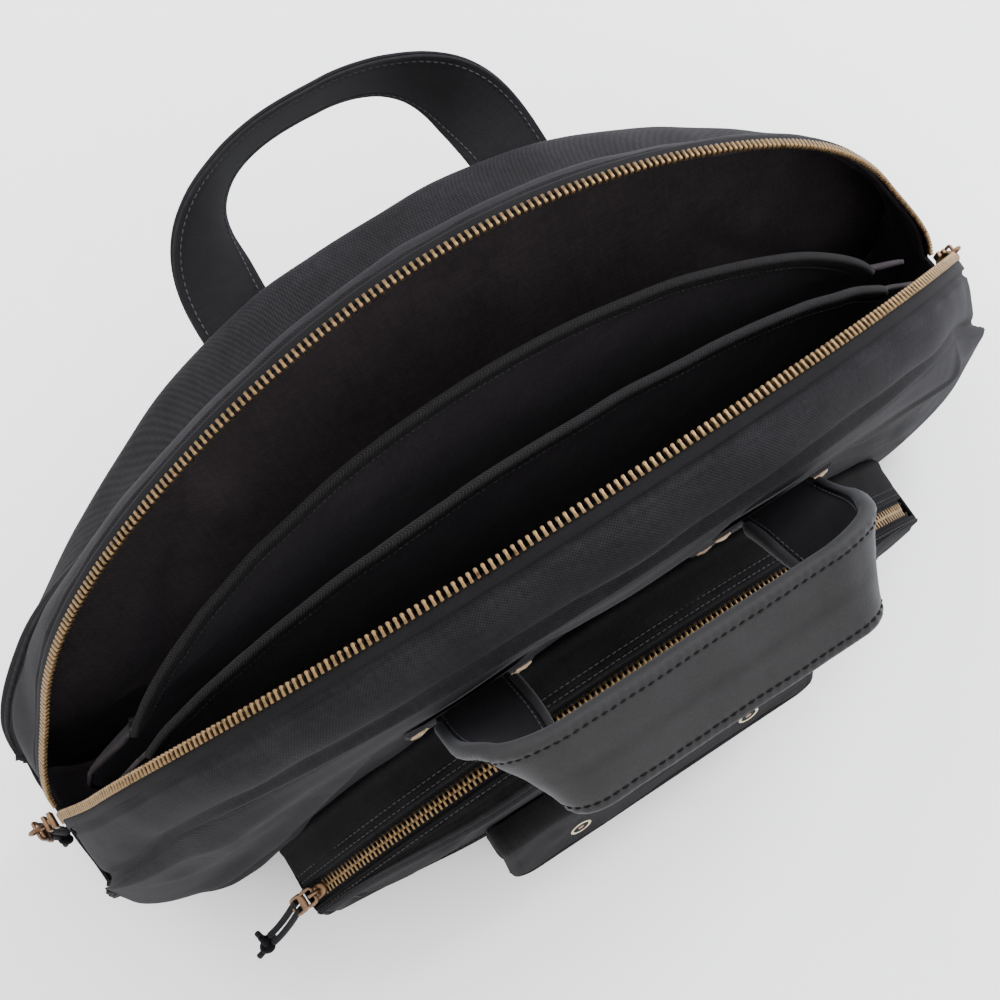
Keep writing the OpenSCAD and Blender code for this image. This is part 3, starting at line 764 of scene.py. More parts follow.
def make_main_zip(side, body, prefix):
    """Teeth and tape of one half of the main zip."""
    a = np.linspace(math.radians(2), math.radians(178), MAIN_TEETH)
    s = tooth_s(a) + TOOTH / 2
    p = band(side, a, s)
    e = 0.004
    x = unit(band(side, a, s + 0.5) - band(side, a, s - 0.5))
    y = unit(band(side, a + e, s) - band(side, a - e, s))
    z = unit(np.cross(x, y))
    flip = np.sign(np.sum(z * band_normal(side, a, s), axis=1, keepdims=True))
    z = z * flip
    y = np.cross(z, x)
    jitter = vnoise(p, 2.0, 5)[:, None] * 0.05
    M = np.stack([x, y, z, p + z * jitter], axis=-1)
    teeth = many(prefix + "_zip_teeth_cast", tooth_template(), M, BRASS)
    dress(teeth, "antique_brass", body, prefix + "_zip_teeth")

    aa = np.linspace(math.radians(0.6), math.pi - math.radians(0.6), 420)[:, None]
    first = tooth_s(aa) + TOOTH - 1.3
    v = np.linspace(0, 1, 7)[None, :]
    ss = first + 6.4 * v
    P = band(side, aa, ss)
    N = band_normal(side, aa, ss)
    bead = 0.75 * bump(ss - first - 0.3, 0.9)
    tape = grid(prefix + "_zip_tape_woven", P + N * (bead[..., None] - 0.1), TAPE, thick=0.8, flip=side > 0)
    dress(tape, "zip_tape", body, prefix + "_zip_tape")


for leaf in LEAVES:
    make_main_zip(*leaf)


# ---------------------------------------------------------------- panels and lower gusset
def fold(P, a, b, amp, width):
    """Height of a long soft fold between two points given as (x, z)."""
    a, b = np.array(a, float), np.array(b, float)
    d = b - a
    L = np.linalg.norm(d)
    q = P[..., [0, 2]] - a
    t = (q @ d) / L**2
    dist = (q[..., 0] * d[1] - q[..., 1] * d[0]) / L
    ends = smooth(t / 0.25) * smooth((1 - t) / 0.25)
    return amp * ends * bump(dist - 6 * np.sin(t * 5), width)


def planar_uv(P):
    """UVs in millimetres of cloth that stands upright."""
    return np.stack([P[..., 0], P[..., 2] + 0.3 * P[..., 1]], -1)


def sew_panel(name, side, low_at, widen, flat_y, edge_u, soft_u, noise, folds, seed):
    """Panel from the lower gusset's edge to the band's seam; flat_y(z) is its plane away from its edges."""
    u, v = square(np.linspace(0, 1, 300), np.linspace(0, 1, 200))
    low = lower_outline(0.001 + 0.998 * u, *low_at) + np.array([0, 0, 0.6])
    low[..., 0] *= widen
    seam = band(side, math.pi * (1 - u), W - 1.2 + 0 * u)
    P = low + (seam - low) * v[..., None]
    flat = smooth(np.minimum(u, 1 - u) / edge_u) * smooth(v / 0.12) * smooth((1 - v) / 0.1)
    P[..., 1] = P[..., 1] * (1 - flat) + flat_y(P[..., 2]) * flat
    inside = smooth(np.minimum(np.minimum(u, 1 - u) / soft_u, np.minimum(v, 1 - v) / 0.06))
    amp, coarse, fine = noise
    out = 1.2 + inside * (amp * vnoise(P, coarse, seed + 1) + 0.9 * vnoise(P, fine, seed + 2))
    out = out + inside * sum(fold(P, *f) for f in folds)
    out = out - 2.2 * bump(1 - v, 0.018) - 1.2 * bump(v, 0.012)
    N = normals(P)
    P = P + N * np.sign(side * N[..., 1:2]) * out[..., None]
    wear_and_highlight = 0.5 * bump(1 - v, 0.02) + 0.35 * smooth(vnoise(P, 30, seed + 5))
    o = grid(name, P, OUTER, uv=planar_uv(P), wear_and_highlight=wear_and_highlight, thick=2.2, flip=side > 0)
    return o


def make_front_panel():
    """Front cloth, leaning forward a little towards the top."""
    folds = (((-252, 40), (-110, 215), 5.5, 7), ((-240, 22), (-150, 120), 4, 5),
             ((-246, 120), (-170, 215), 3.5, 6), ((232, 70), (120, 200), 3, 8),
             ((214, 34), (180, 150), 2.5, 6), ((-60, 296), (60, 300), 2, 6), ((120, 225), (210, 190), 3, 5))
    o = sew_panel("front_panel_cloth", -1, (-W - 0.6, ZE - 5.4), 1.008,
                  lambda z: FRONT_Y - np.maximum(0, z - 180) * 0.1, 0.24, 0.2, (2.0, 75, 28), folds, 20)
    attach(o, "bag")
    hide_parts("front_panel")


def make_back_panel():
    """Back cloth, which bends where the leaf starts to lean."""
    def flat_y(z):
        lean = 39.2 + (z - 90) * math.tan(LEAN[1])
        low_y = 41.5 + shear(z)
        return low_y + np.logaddexp(0, (lean - low_y) / 4) * 4

    folds = (((-235, 84), (-60, 92), -3.5, 7), ((235, 84), (60, 96), -3.5, 7),
             ((-230, 60), (-120, 190), 3, 9), ((230, 50), (140, 180), 3, 9))
    o = sew_panel("back_panel_cloth", 1, (40.6, ZE - 19.5), 1.0, flat_y, 0.12, 0.1, (2.2, 80, 30), folds, 30)
    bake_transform(o)
    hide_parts("back_panel_lower", "back_panel_upper")


def make_lower_gusset():
    """Cloth of the sides and the floor, with the seam ridges at its edges."""
    u, y = square(np.linspace(0, 1, 420), np.linspace(-W - 1.3, 41.4, 40))
    top = ZE - np.abs(y) * np.where(y < 0, math.tan(LEAN[-1]), math.tan(LEAN[1]))
    top = top + 6.0 * smooth((y - 22) / 14)
    P = lower_outline(u, y, top)
    P[..., 1] += 2.0 * smooth((P[..., 2] - 30) / 20) * smooth((y - 36) / 5)
    N = normals(P)
    N = N * np.sign(np.sum(N * (P - np.array([0, 0, 150.0])), axis=-1, keepdims=True))
    edge = np.clip(np.minimum(y + W, 40 - y), 0, None) / 8
    side = smooth(np.minimum(u, 1 - u) / 0.02) * smooth((P[..., 2] - 4) / 30)
    soft = side * smooth(edge)
    out = 1.1 + soft * (1.6 * vnoise(P, 46, 41) + 0.9 * vnoise(P, 19, 42))
    ripple = np.sin((P[..., 2] + 0.5 * y) / 13.0)
    out = out + soft * 1.6 * ripple * smooth(vnoise(P, 60, 44) * 2 + 0.4)
    out = out + 1.4 * bump(edge * 8 - 1.5, 2.0)
    high = smooth((P[..., 2] - 70) / 20)
    out = out * (1 - 0.85 * high * smooth((-12 - y) / 20)) - 2.4 * high * smooth((y - 22) / 14)
    P = P + N * out[..., None]
    P[..., 2] = np.maximum(P[..., 2], 0.05)
    wear_and_highlight = 0.6 * bump(edge * 8 - 1.5, 1.6) + 0.5 * bump(P[..., 2], 5)
    o = grid("lower_gusset_cloth", P, OUTER, wear_and_highlight=wear_and_highlight, thick=2.0, flip=True)
    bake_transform(o)
    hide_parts("lower_gusset")


make_front_panel()
make_back_panel()
make_lower_gusset()


# ---------------------------------------------------------------- dividers
def divider_half(z):
    """Half width of a divider at height z."""
    return np.interp(z, [6, 20, 40, 62, 105, 140, 170], [196, 225, 240, 245, 245, 236, 207])


def divider_point(k, v, low_y, end_y, mid_y, drop):
    """Divider at k (-1 to 1 across) and v (0 to 1 up), drop below its top edge."""
    c = np.maximum(0, 1 - k * k)
    top = 170 + 92 * c**0.7 - drop
    z = 6 + (top - 6) * v
    y = low_y + (end_y + (mid_y - end_y) * c**0.8 - low_y) * v
    return np.stack([k * divider_half(np.minimum(z, 170)), y, z], -1)


def make_divider(name, cad, low_y, end_y, mid_y, seed):
    """Padded wall inside the bag, with the bound edge on top."""
    k, v = square(np.linspace(-1, 1, 220), np.linspace(0, 1, 110))
    P = divider_point(k, v, low_y, end_y, mid_y, 6)
    soft = smooth((1 - v) / 0.1) * smooth(v / 0.1) * smooth((1 - np.abs(k)) / 0.1)
    P[..., 1] += soft * (1.3 * vnoise(P, 90, seed) + 0.5 * vnoise(P, 33, seed + 1)) + 1.0
    o = grid(name + "_cloth", P, LINING, uv=planar_uv(P), thick=2.2, wear_and_highlight=0.1 + 0 * k)
    dress(o, "lining", "bag", cad)

    kk = np.sin(np.linspace(-1, 1, 460) * math.pi / 2)
    edge = divider_point(kk, 1.0 + 0 * kk, low_y, end_y, mid_y, 0)
    wave = np.stack([0 * kk, 0.6 * vnoise(edge, 24, seed + 3), 0.5 * vnoise(edge, 40, seed + 4)], -1)
    edge = edge + wave * smooth((1 - np.abs(kk)) / 0.05)[:, None]
    t = frames(edge)
    across = unit(np.cross(t, np.array([0, 0, 1.0])) * np.array([1, 1, 0.2]))
    down = unit(np.cross(across, t))
    down = down * np.sign(-down[:, 2:3])
    half = [(-2.0, 9.6), (-2.25, 9.2), (-2.3, 5), (-2.3, 1.8), (-1.9, 0.7), (-1.1, 0.1)]
    section = half + [(0, -0.1)] + [(-x, y) for x, y in reversed(half)]
    B = np.stack([edge + across * x + down * y for x, y in section], 1)
    dress(grid(name + "_binding_tape", B, TWILL), "twill_binding", "bag", cad + "_binding")
    for sgn, tag in ((-1, "a"), (1, "b")):
        stitches(f"{name}_binding_stitch_{tag}", edge + down * 7.9 + across * sgn * 2.3, across * sgn,
                 "twill_binding", pitch=3.0, width=0.6)


make_divider("front_divider", "divider_front", -12, -4, 3, 51)
make_divider("back_divider", "divider_back", 14, 7, 42, 61)


# ---------------------------------------------------------------- handles
def loop_path(n):
    """Back loop: a soft arch that lies flat at its ends."""
    a = np.linspace(math.pi, 0, n)
    c, s = np.cos(a), np.sin(a)
    x = np.sign(c) * np.abs(c) ** 0.72 * (GRIP_X[1] + 6)
    return np.stack([x, 0 * x, np.maximum(s, 0) ** 0.72 * LOOP_L + 0.6], -1)


def grip_path(n):
    """Front handle: straight legs, round corners and a straight grip."""
    gx, arc = GRIP_X[-1], GRIP_R * math.pi / 2
    full = 2 * (LEG_L + arc + gx - GRIP_R)
    d = np.linspace(0, full, n)
    e = np.minimum(d, full - d)
    q = np.clip((e - LEG_L) / GRIP_R, 0, math.pi / 2)
    x = gx - GRIP_R + GRIP_R * np.cos(q) - np.maximum(0, e - LEG_L - arc)
    z = np.minimum(e, LEG_L) + GRIP_R * np.sin(q)
    return np.stack([np.where(d < full / 2, -x, x), 0 * x, z + 0.6], -1)


def loop_frames(n, side):
    """Path, face directions and length run of a handle; it turns from flat on the bag to upright."""
    path, at = resample(grip_path(1500) if side < 0 else loop_path(1500), n)
    total = at[-1]
    if side < 0:
        e = np.minimum(at, total - at)
        b = math.pi / 2 * smooth((e - 10) / (LEG_L + GRIP_R * math.pi / 2 - 4))
    else:
        b = math.pi / 2 * smooth((path[:, 2] - 4) / 80)
        path[:, 0] *= 1 - 0.055 * smooth((path[:, 2] - 8) / 80)
    sgn = np.where(at < total / 2, -1.0, 1.0)
    wide = np.stack([-sgn * np.cos(b), -np.sin(b), 0 * b], -1)
    t = frames(path)
    wide = unit(wide - t * np.sum(wide * t, axis=1, keepdims=True))
    return path, wide, np.cross(t, wide), at


def strap_section(w, t):
    """Rounded flat section as (across, out) pairs."""
    pts = []
    r = t / 2
    flat = w / 2 - r
    for sx in (-1, 1):
        for q in np.linspace(0, math.pi, 10) - sx * math.pi / 2:
            pts.append((sx * flat + r * math.cos(q), r * math.sin(q)))
        pts += [(x, sx * r) for x in np.linspace(sx * flat, -sx * flat, 14)[1:-1]]
    return np.array(pts)


def strap_row(path, wide, face, across, out, shape):
    """Points on a strap's surface at a distance across it, out from its middle."""
    return path + wide * across + face * (out + shape(np.array([[across, out]]))[:, :1])


def strap_mesh(name, path, wide, face, sec, w, mat, place, shape):
    """Closed strap of section sec along path; w is the width at whose edges it is worn."""
    P = path[:, None] + wide[:, None] * sec[None, :, :1] + face[:, None] * sec[None, :, 1:]
    P = P + face[:, None] * shape(sec)[:, :, None]
    P = np.concatenate([P, P[:, :1]], axis=1)
    c0, c1 = P[:1].mean(axis=1, keepdims=True), P[-1:].mean(axis=1, keepdims=True)
    P = np.concatenate([c0 + (P[:1] - c0) * 0.02, c0 + (P[:1] - c0) * 0.9, P,
                        c1 + (P[-1:] - c1) * 0.9, c1 + (P[-1:] - c1) * 0.02], axis=0)
    uv = np.stack(square(lengths(P, 0).mean(axis=1), distances(np.vstack([sec, sec[:1]]))), -1)
    edge = np.abs(np.append(sec[:, 0], sec[0, 0])) / max(w / 2, 0.5)
    wear_and_highlight = smooth((edge - 0.93) / 0.07)[None, :] * np.ones((len(P), 1))
    Q = np.einsum("ij,nmj->nmi", place[:3, :3], P) + place[:3, 3]
    return grid(name, Q, mat, uv=uv, wear_and_highlight=wear_and_highlight)


def as_np(m):
    """A Blender matrix as an array."""
    return np.array([list(r) for r in m])


FRONT_LOOP = as_np(Matrix.Translation((0, -70.4, 258)) @ Matrix.Rotation(math.radians(37), 4, "X"))
BACK_LOOP = as_np(Matrix.Translation((0, 0, ZE)) @ Matrix.Rotation(-LEAN[1], 4, "X")
                  @ Matrix.Translation((0, 46.6, 174)) @ Matrix.Rotation(math.radians(10 + 27 - 90), 4, "X")
                  @ Matrix.Scale(-1, 4, (0, 1, 0)))


def put(place, p):
    """Points moved by the matrix place."""
    return p @ place[:3, :3].T + place[:3, 3]


def turn(place, v):
    """Directions turned by the matrix place."""
    return v @ place[:3, :3].T


def make_strap(name, cad, place, body, side, seed):
    """Two layers of webbing with a seam along each edge of both faces."""
    path, wide, face, at = loop_frames(280, side)
    wob = np.stack([0 * at, 0.8 * vnoise(path, 45, seed), 0.5 * vnoise(path, 38, seed + 1)], -1)
    path = path + wob * smooth(np.minimum(at, at[-1] - at) / 30)[:, None]
    row = STRAP_W / 2 - 3.6

    def shape(sec):
        ripple = 0.16 * vnoise(path, 9, seed + 5)[:, None]
        groove = -0.3 * (bump(np.abs(sec[:, 0]) - row, 0.8) * np.sign(sec[:, 1]))[None, :]
        return ripple + groove

    for k, off in enumerate((-0.85, 0.85)):
        w = STRAP_W - 0.5 * k
        sec = strap_section(w, 1.8)
        o = strap_mesh(f"{name}_layer_{k + 1}", path + face * off, wide, face, sec, w, STRAP, place, shape)
        dress(o, "canvas", body, *([] if k else [cad]))
    for sx, edge in ((-1, "l"), (1, "r")):
        for sf, layer in ((-1, "i"), (1, "o")):
            p = strap_row(path + face * 0.85 * sf, wide, face, sx * row, sf * 0.9, shape)
            stitches(f"{name}_stitch_{edge}{layer}", put(place, p), turn(place, face * sf), body=body,
                     lift=0.25)


def make_grip():
    """Leather sewn to the outer side of the handle, its edges folded round the strap."""
    path, wide, face, at = loop_frames(420, -1)
    keep = (at > 5) & (at < at[-1] - 5)
    p, w, f, d = path[keep], wide[keep], face[keep], at[keep]
    side = [(10, -1.85), (18.6, -1.85), (19.3, -1.3), (19.35, 1.3), (18.8, 1.9), (17.3, 1.95), (16.9, 2.3),
            (17.4, 2.8), (19.3, 2.95), (20.6, 2.4), (21.4, 1.2), (21.6, -0.6), (21.4, -2.4), (20.6, -3.7),
            (19.2, -4.3), (17.6, -4.4), (16.4, -4.4), (15.2, -4.45), (13, -4.6), (9, -4.9), (4.5, -5.1)]
    sec = np.array([(0, -1.85)] + side + [(0, -5.2)] + [(-x, y) for x, y in reversed(side)])
    sec[:, 0] *= 0.945
    row = 15.7

    def shape(sec):
        across = np.abs(sec[:, 0])
        outer = smooth((-sec[:, 1] - 3.2) / 0.8)[None, :]
        edge = smooth((across - 12) / 9)[None, :]
        groove = 0.5 * bump(across - row, 0.75)[None, :] * outer
        q = p[:, None] + w[:, None] * sec[None, :, :1]
        dents = 0.75 * vnoise(q, 26, 71) + 0.45 * vnoise(q, 11, 72) + 0.25 * vnoise(q, 5, 73)
        pucker = 0.22 * np.sin(d * 2 * math.pi / 4.0)[:, None] * bump(across - row - 1.6, 1.6)[None, :]
        return groove - outer * (dents * (1 - 0.5 * edge) + pucker)

    o = strap_mesh("front_grip_leather", p, w, f, sec, 0, LEATHER, FRONT_LOOP, shape)
    dress(o, "grip_leather", "front_handle", "front_handle_grip")
    for sx, tag in ((-1, "a"), (1, "b")):
        q = strap_row(p, w, f, sx * row, -4.4, shape)[4:-4]
        stitches(f"front_grip_stitch_{tag}", put(FRONT_LOOP, q), turn(FRONT_LOOP, -f[4:-4]), "grip_leather",
                 "front_handle", DARK_THREAD, pitch=4.0, width=1.0, height=0.5, lift=0.2)


make_strap("front_strap", "front_handle_strap", FRONT_LOOP, "front_handle", -1, 81)
make_strap("back_strap", "back_handle_strap", BACK_LOOP, "back_handle", 1, 91)
make_grip()


def anchor_place(side):
    """Frame of the anchor patches of one leaf: X along the bag, Z up the cloth."""
    if side < 0:
        return Matrix.Translation((0, -66.9 - 2.0, 258)) @ Matrix.Rotation(math.radians(5.71), 4, "X")
    return (Matrix.Translation((0, 0, ZE)) @ Matrix.Rotation(-LEAN[1], 4, "X")
            @ Matrix.Translation((0, BACK_Y + 2.7, 172.5)))


def make_anchors(side, body, prefix):
    """Two patches, each with a seam round it, a sewn cross and four rivets."""
    m = anchor_place(side)
    mm = as_np(m)
    out = float(side)
    gx = GRIP_X[side]
    hx, hz = PATCH_X - PATCH_SEAM, PATCH_Z - PATCH_SEAM
    a, b, c, d = (-hx, -hz), (hx, -hz), (hx, hz), (-hx, hz)
    seams = [np.array(q) for q in ((a, b, c, d, a), (a, c), (b, d))]
    prof = [(4.2, 0), (4.2, 0.5), (3.9, 0.9), (3.1, 1.25), (2.8, 1.15), (1.9, 1.5), (0.9, 1.7), (0.1, 1.75)]
    for sx, tag in ((-1, "l"), (1, "r")):
        u, v = square(np.linspace(-1, 1, 60), np.linspace(-1, 1, 56))
        edge = np.minimum(1 - np.abs(u), 1 - np.abs(v)) * 30
        rough = vnoise(np.stack([u * PATCH_X, v * PATCH_Z, 0 * u + 9 * sx], -1), 16, 101)
        lift = 1.5 * np.sqrt(np.clip(edge / 1.4, 0, 1)) - 0.35 * bump(edge - 4, 0.9) + 0.4 * rough
        P = np.stack([sx * gx + u * PATCH_X, out * lift, PATCH_MID + v * PATCH_Z], -1)
        # Painted highlight on the patch's raw edge: a thin band along the edge is lightened in colour.
        wear_and_highlight = 0.8 * bump(edge - 0.6, 1.0)
        o = grid(f"{prefix}_anchor_patch_{tag}", put(mm, P), CANVAS, wear_and_highlight=wear_and_highlight, flip=side > 0)
        dress(o, "canvas", body, *([f"{prefix}_handle_anchors"] if sx < 0 else []))
        for k, seam in enumerate(seams):
            pts = np.concatenate([np.linspace(p0, p1, 24) for p0, p1 in zip(seam, seam[1:])])
            q = np.stack([sx * gx + pts[:, 0], np.full(len(pts), out * 1.5), PATCH_MID + pts[:, 1]], -1)
            nn = np.tile(np.array([0, out, 0.0]), (len(pts), 1))
            stitches(f"{prefix}_anchor_stitch_{tag}{k}", put(mm, q), turn(mm, nn), body=body)
        for k, (dx, z) in enumerate([(-25, -11), (25, -11), (-25, -53), (25, -53)]):
            centre = m @ Vector((sx * gx + dx, out * 1.2, z))
            r = lathe(f"{prefix}_rivet_{tag}{k}", prof, centre, m.to_3x3() @ Vector((0, out, 0)), RIVET)
            dress(r, "antique_copper", body, *([f"{prefix}_anchor_rivets"] if sx < 0 and k == 0 else []))


for leaf in LEAVES:
    make_anchors(*leaf)


# ---------------------------------------------------------------- front pocket
def arc_xz(a, r=POCKET_R):
    """Point at angle a on the arc of the pocket's top, as (x, z)."""
    return np.stack([r * np.sin(a), POCKET_CZ + r * np.cos(a)], -1)


def pocket_loop():
    """Closed outline of the pocket as (x, z), clockwise from the left end of the zip."""
    top = arc_xz(np.linspace(-POCKET_HALF, POCKET_HALF, 200))
    corner, low = 30, 6
    right = np.stack([np.full(30, END_X), np.linspace(top[-1, 1] - 1, low + corner, 30)], -1)
    q = np.linspace(0, -math.pi / 2, 26)[1:]
    cr = np.stack([END_X - corner + corner * np.cos(q), low + corner + corner * np.sin(q)], -1)
    base = np.stack([np.linspace(END_X - 32, -END_X + 32, 140), np.full(140, low)], -1)
    cl = cr[::-1] * np.array([-1, 1])
    left = right[::-1] * np.array([-1, 1])
    return np.concatenate([top, right, cr, base, cl, left]), len(top)


def to3(xz, y):
    """Points (x, y, z) from (x, z) and y."""
    y = np.broadcast_to(np.asarray(y, float), xz.shape[:-1])
    return np.stack([xz[..., 0], y, xz[..., 1]], -1)


def loop_normals(xz):
    """Normals of a closed outline."""
    t = unit(np.roll(xz, -1, 0) - np.roll(xz, 1, 0))
    return np.stack([-t[:, 1], t[:, 0]], -1)


def tuck(P):
    """P moved so that the pocket gets shallower towards its sides."""
    q = np.array(P, float)
    q[..., 1] += 9.0 * smooth((np.abs(q[..., 0]) - 80) / 100) * np.clip((-96 - q[..., 1]) / 12, 0, 1)
    return q


def make_pocket():
    """Face, sides and top strips of the front pocket."""
    loop, ntop = pocket_loop()
    nrm = loop_normals(loop)
    nrm = nrm * np.sign(np.sum(nrm * (loop - np.array([0, 60])), axis=1, keepdims=True))

    # Face: rings from the middle to the rim, crowned, with a rolled seam at the rim.
    centre = np.array([0.0, 70.0])
    r = np.linspace(0.02, 1, 70)
    xz = centre + (loop[:, None] - centre) * r[None, :, None]
    P = to3(xz, FACE_Y - 1.0)
    soft = smooth((1 - r) / 0.2)[None, :]
    crown = 2.0 * (1 - r**2.4)[None, :]
    out = crown + soft * (1.6 * vnoise(P, 60, 111) + 0.8 * vnoise(P, 24, 112))
    out = out + soft * (fold(P, (-170, 30), (-95, 130), 3, 7) + fold(P, (170, 36), (105, 120), 3, 7))
    rim = (1 - r)[None, :] * 90
    out = out + 1.6 * bump(rim - 3.2, 2.6) - 1.6 * bump(rim - 8.5, 1.6) - 2.0 * bump(rim, 1.4)
    P[..., 1] -= out
    P = tuck(P)
    wear_and_highlight = 0.8 * bump(rim - 3.0, 1.8) + 0.3 * smooth(vnoise(P, 26, 114)) + 0 * out
    face = grid("pocket_face_cloth", P, CANVAS_POCKET, uv=planar_uv(P), wear_and_highlight=wear_and_highlight, closed=True)
    dress(face, "canvas", "bag", "pocket_face")
    q = 0.905
    xz = centre + (loop - centre) * q
    pts = tuck(to3(xz, FACE_Y - 1.0 - 2.0 * (1 - q**2.4) - 0.1))
    stitches("pocket_face_stitch", np.vstack([pts, pts[:1]]), np.tile([0, -1.0, 0], (len(pts) + 1, 1)))

    # Sides and floor.
    lo = np.concatenate([[ntop - 1], np.arange(ntop, len(loop)), [0]])
    sxz, sn = loop[lo], nrm[lo]
    sn[0] = sn[1]
    sn[-1] = sn[-2]
    nv = 30
    y = np.linspace(FRONT_Y - 1.0, FACE_Y - 0.6, nv)
    puff = np.sin(np.linspace(0, math.pi, nv)) ** 0.8
    P = to3(sxz[:, None] + 0 * y[None, :, None], y[None, :])
    amp = 1.6 + 1.3 * vnoise(P, 36, 121) + 0.7 * vnoise(P, 15, 122)
    amp = amp * smooth((P[..., 2] - 7) / 20) + 0.25
    lift = amp * puff[None, :] - 0.4
    P[..., 0] += sn[:, None, 0] * lift
    P[..., 2] += sn[:, None, 1] * lift
    P = tuck(P)
    dress(grid("pocket_side_cloth", P, CANVAS_POCKET, thick=1.6), "canvas", "bag", "pocket_side_gusset")

    # Two strips of the top, beside the zip.
    ang = np.linspace(-POCKET_HALF - 0.004, POCKET_HALF + 0.004, 300)
    for tag, y0, y1 in (("rear", FRONT_Y - 1.0, CHAIN_Y + 5.2), ("front", FACE_Y - 0.6, CHAIN_Y - 5.2)):
        v = np.linspace(0, 1, 26)
        y = y0 + (y1 - y0) * v
        xz = arc_xz(ang[:, None] + 0 * v[None, :])
        P = to3(xz, y[None, :])
        d = np.abs(y - y1)
        run = (ang * POCKET_R)[:, None]
        lift = 0.2 + 1.1 * np.sqrt(np.clip(d / 1.0, 0, 1))[None, :] - 1.2 * bump(v, 0.05)[None, :]
        lift = lift + 0.8 * bump(v - 0.16, 0.1)[None, :]
        for row in STRIP_ROWS:
            lift = lift - 0.35 * bump(d - row, 0.8)[None, :]
            lift = lift + 0.2 * bump(d - row, 2.0)[None, :] * np.sin(run / 5.1 + row)
        lift = lift + smooth(d / 8)[None, :] * (0.9 * vnoise(P, 34, 131) + 0.5 * vnoise(P, 14, 132))
        nn = to3(np.stack([np.sin(ang), np.cos(ang)], -1), 0)
        P = tuck(P + nn[:, None] * lift[..., None])
        wear_and_highlight = 0.6 * bump(d - 0.3, 0.8)[None, :] + 0.5 * bump(v - 0.14, 0.08)[None, :] + 0 * lift
        o = grid(f"pocket_{tag}_strip", P, CANVAS_POCKET, wear_and_highlight=wear_and_highlight, thick=1.6, flip=tag == "rear")
        dress(o, "canvas", "bag", f"pocket_{tag}_gusset")
        sgn = 1 if y0 > y1 else -1
        for k, row in enumerate(STRIP_ROWS if tag == "rear" else STRIP_ROWS[:1]):
            stitches(f"pocket_{tag}_stitch_{k}", to3(arc_xz(ang, POCKET_R + 1.1), y1 + sgn * row), nn)


def make_pocket_zip():
    """Both halves of the pocket's zip."""
    step = PITCH / POCKET_R
    count = int(2 * (POCKET_HALF - math.radians(1.5)) / step)
    for tag, side in (("rear", 1), ("front", -1)):
        a = (np.arange(count + 1) - count / 2 + side * 0.25) * step
        p = to3(arc_xz(a, POCKET_R - 1.0), CHAIN_Y + side * 1.45)
        z = to3(np.stack([np.sin(a), np.cos(a)], -1), 0)
        x = np.tile([0, float(side), 0], (len(a), 1))
        y = np.cross(z, x)
        teeth = many(f"pocket_{tag}_teeth_cast", tooth_template(), np.stack([x, y, z, p], -1), BRASS)
        dress(teeth, "antique_brass", "bag", f"pocket_{tag}_teeth")
        ang = np.linspace(-POCKET_HALF + 0.008, POCKET_HALF - 0.008, 240)
        y = np.linspace(CHAIN_Y + side * 2.6, CHAIN_Y + side * 8.6, 7)
        P = to3(arc_xz(ang[:, None] + 0 * y[None, :], POCKET_R - 0.6), y[None, :])
        nn = to3(np.stack([np.sin(ang), np.cos(ang)], -1), 0)
        P = P + nn[:, None] * (0.8 * bump(np.abs(y - y[0]), 1.0))[None, :, None]
        o = grid(f"pocket_{tag}_tape_woven", P, TAPE, thick=0.8, flip=side < 0)
        dress(o, "zip_tape", "bag", f"pocket_{tag}_tape")


make_pocket()
make_pocket_zip()


# ---------------------------------------------------------------- sliders, pulls and cords
def slider_frame():
    """Frame of the pocket slider: X along the zip, Z out of it."""
    angle = math.radians(2.4) - POCKET_HALF
    return (Matrix.Translation((0, CHAIN_Y, POCKET_CZ)) @ Matrix.Rotation(angle, 4, "Y")
            @ Matrix.Translation((0, 0, POCKET_R)))


def moved(place, points):
    """The points of a list, moved by place, as tuples."""
    return [tuple(place @ Vector(q)) for q in points]


def eye(name, centre, radius, wire, normal, place, mat):
    """Wire eye: a closed ring of round wire."""
    n = Vector(normal).normalized()
    a = n.orthogonal().normalized()
    b = n.cross(a)
    turns = [2 * math.pi * k / 28 for k in range(28)]
    pts = [Vector(centre) + a * math.cos(t) * radius + b * math.sin(t) * radius for t in turns]
    return tube(name, moved(place, pts), wire, mat, sides=10, closed=True)


def slider_body(name, place, mat):
    """Upper plate of a slider: a shield outline, domed, with rolled sides."""
    length, width, z0 = 11.0, 8.6, 0.8
    bm = bmesh.new()
    n = 28
    rings = []
    for z, k in ((z0, 0.97), (z0 + 0.35, 1.0), (z0 + 1.3, 0.98), (z0 + 1.85, 0.86), (z0 + 2.05, 0.6)):
        ring = []
        for j in range(n):
            t = 2 * math.pi * j / n
            c, s = math.cos(t), math.sin(t)
            x = rounded(c, 0.55) * length / 2
            y = rounded(s, 0.5) * width / 2 * (0.86 - 0.14 * c)
            ring.append(bm.verts.new((x * k, y * k, z)))
        rings.append(ring)
    skin(bm, rings)
    return from_bmesh(name, bm, place, mat)


def knot_path(radius):
    """Trefoil, the shape of a pulled-up overhand knot."""
    t = np.linspace(0, 2 * np.pi, 96, endpoint=False)
    p = np.stack([np.sin(t) + 2 * np.sin(2 * t), np.cos(t) - 2 * np.cos(2 * t), -1.25 * np.sin(3 * t)], -1)
    return p * radius / 3.0


def make_knot(name, centre, place, body, cad, tails):
    """Knot in which a cord ends, with its tails, as one piece."""
    at = place @ Matrix.Translation(centre)
    parts = [tube(name, moved(at, knot_path(4.3)[:, [2, 0, 1]]), CORD_D / 2 * 0.98, CORDAGE, closed=True)]
    for i, tail in enumerate(tails):
        parts.append(tube(f"{name}_tail_{i}", moved(at, tail), CORD_D / 2 * 0.96, CORDAGE))
    o = joined(name, parts)
    dress(o, "cord", body, cad)
    return o


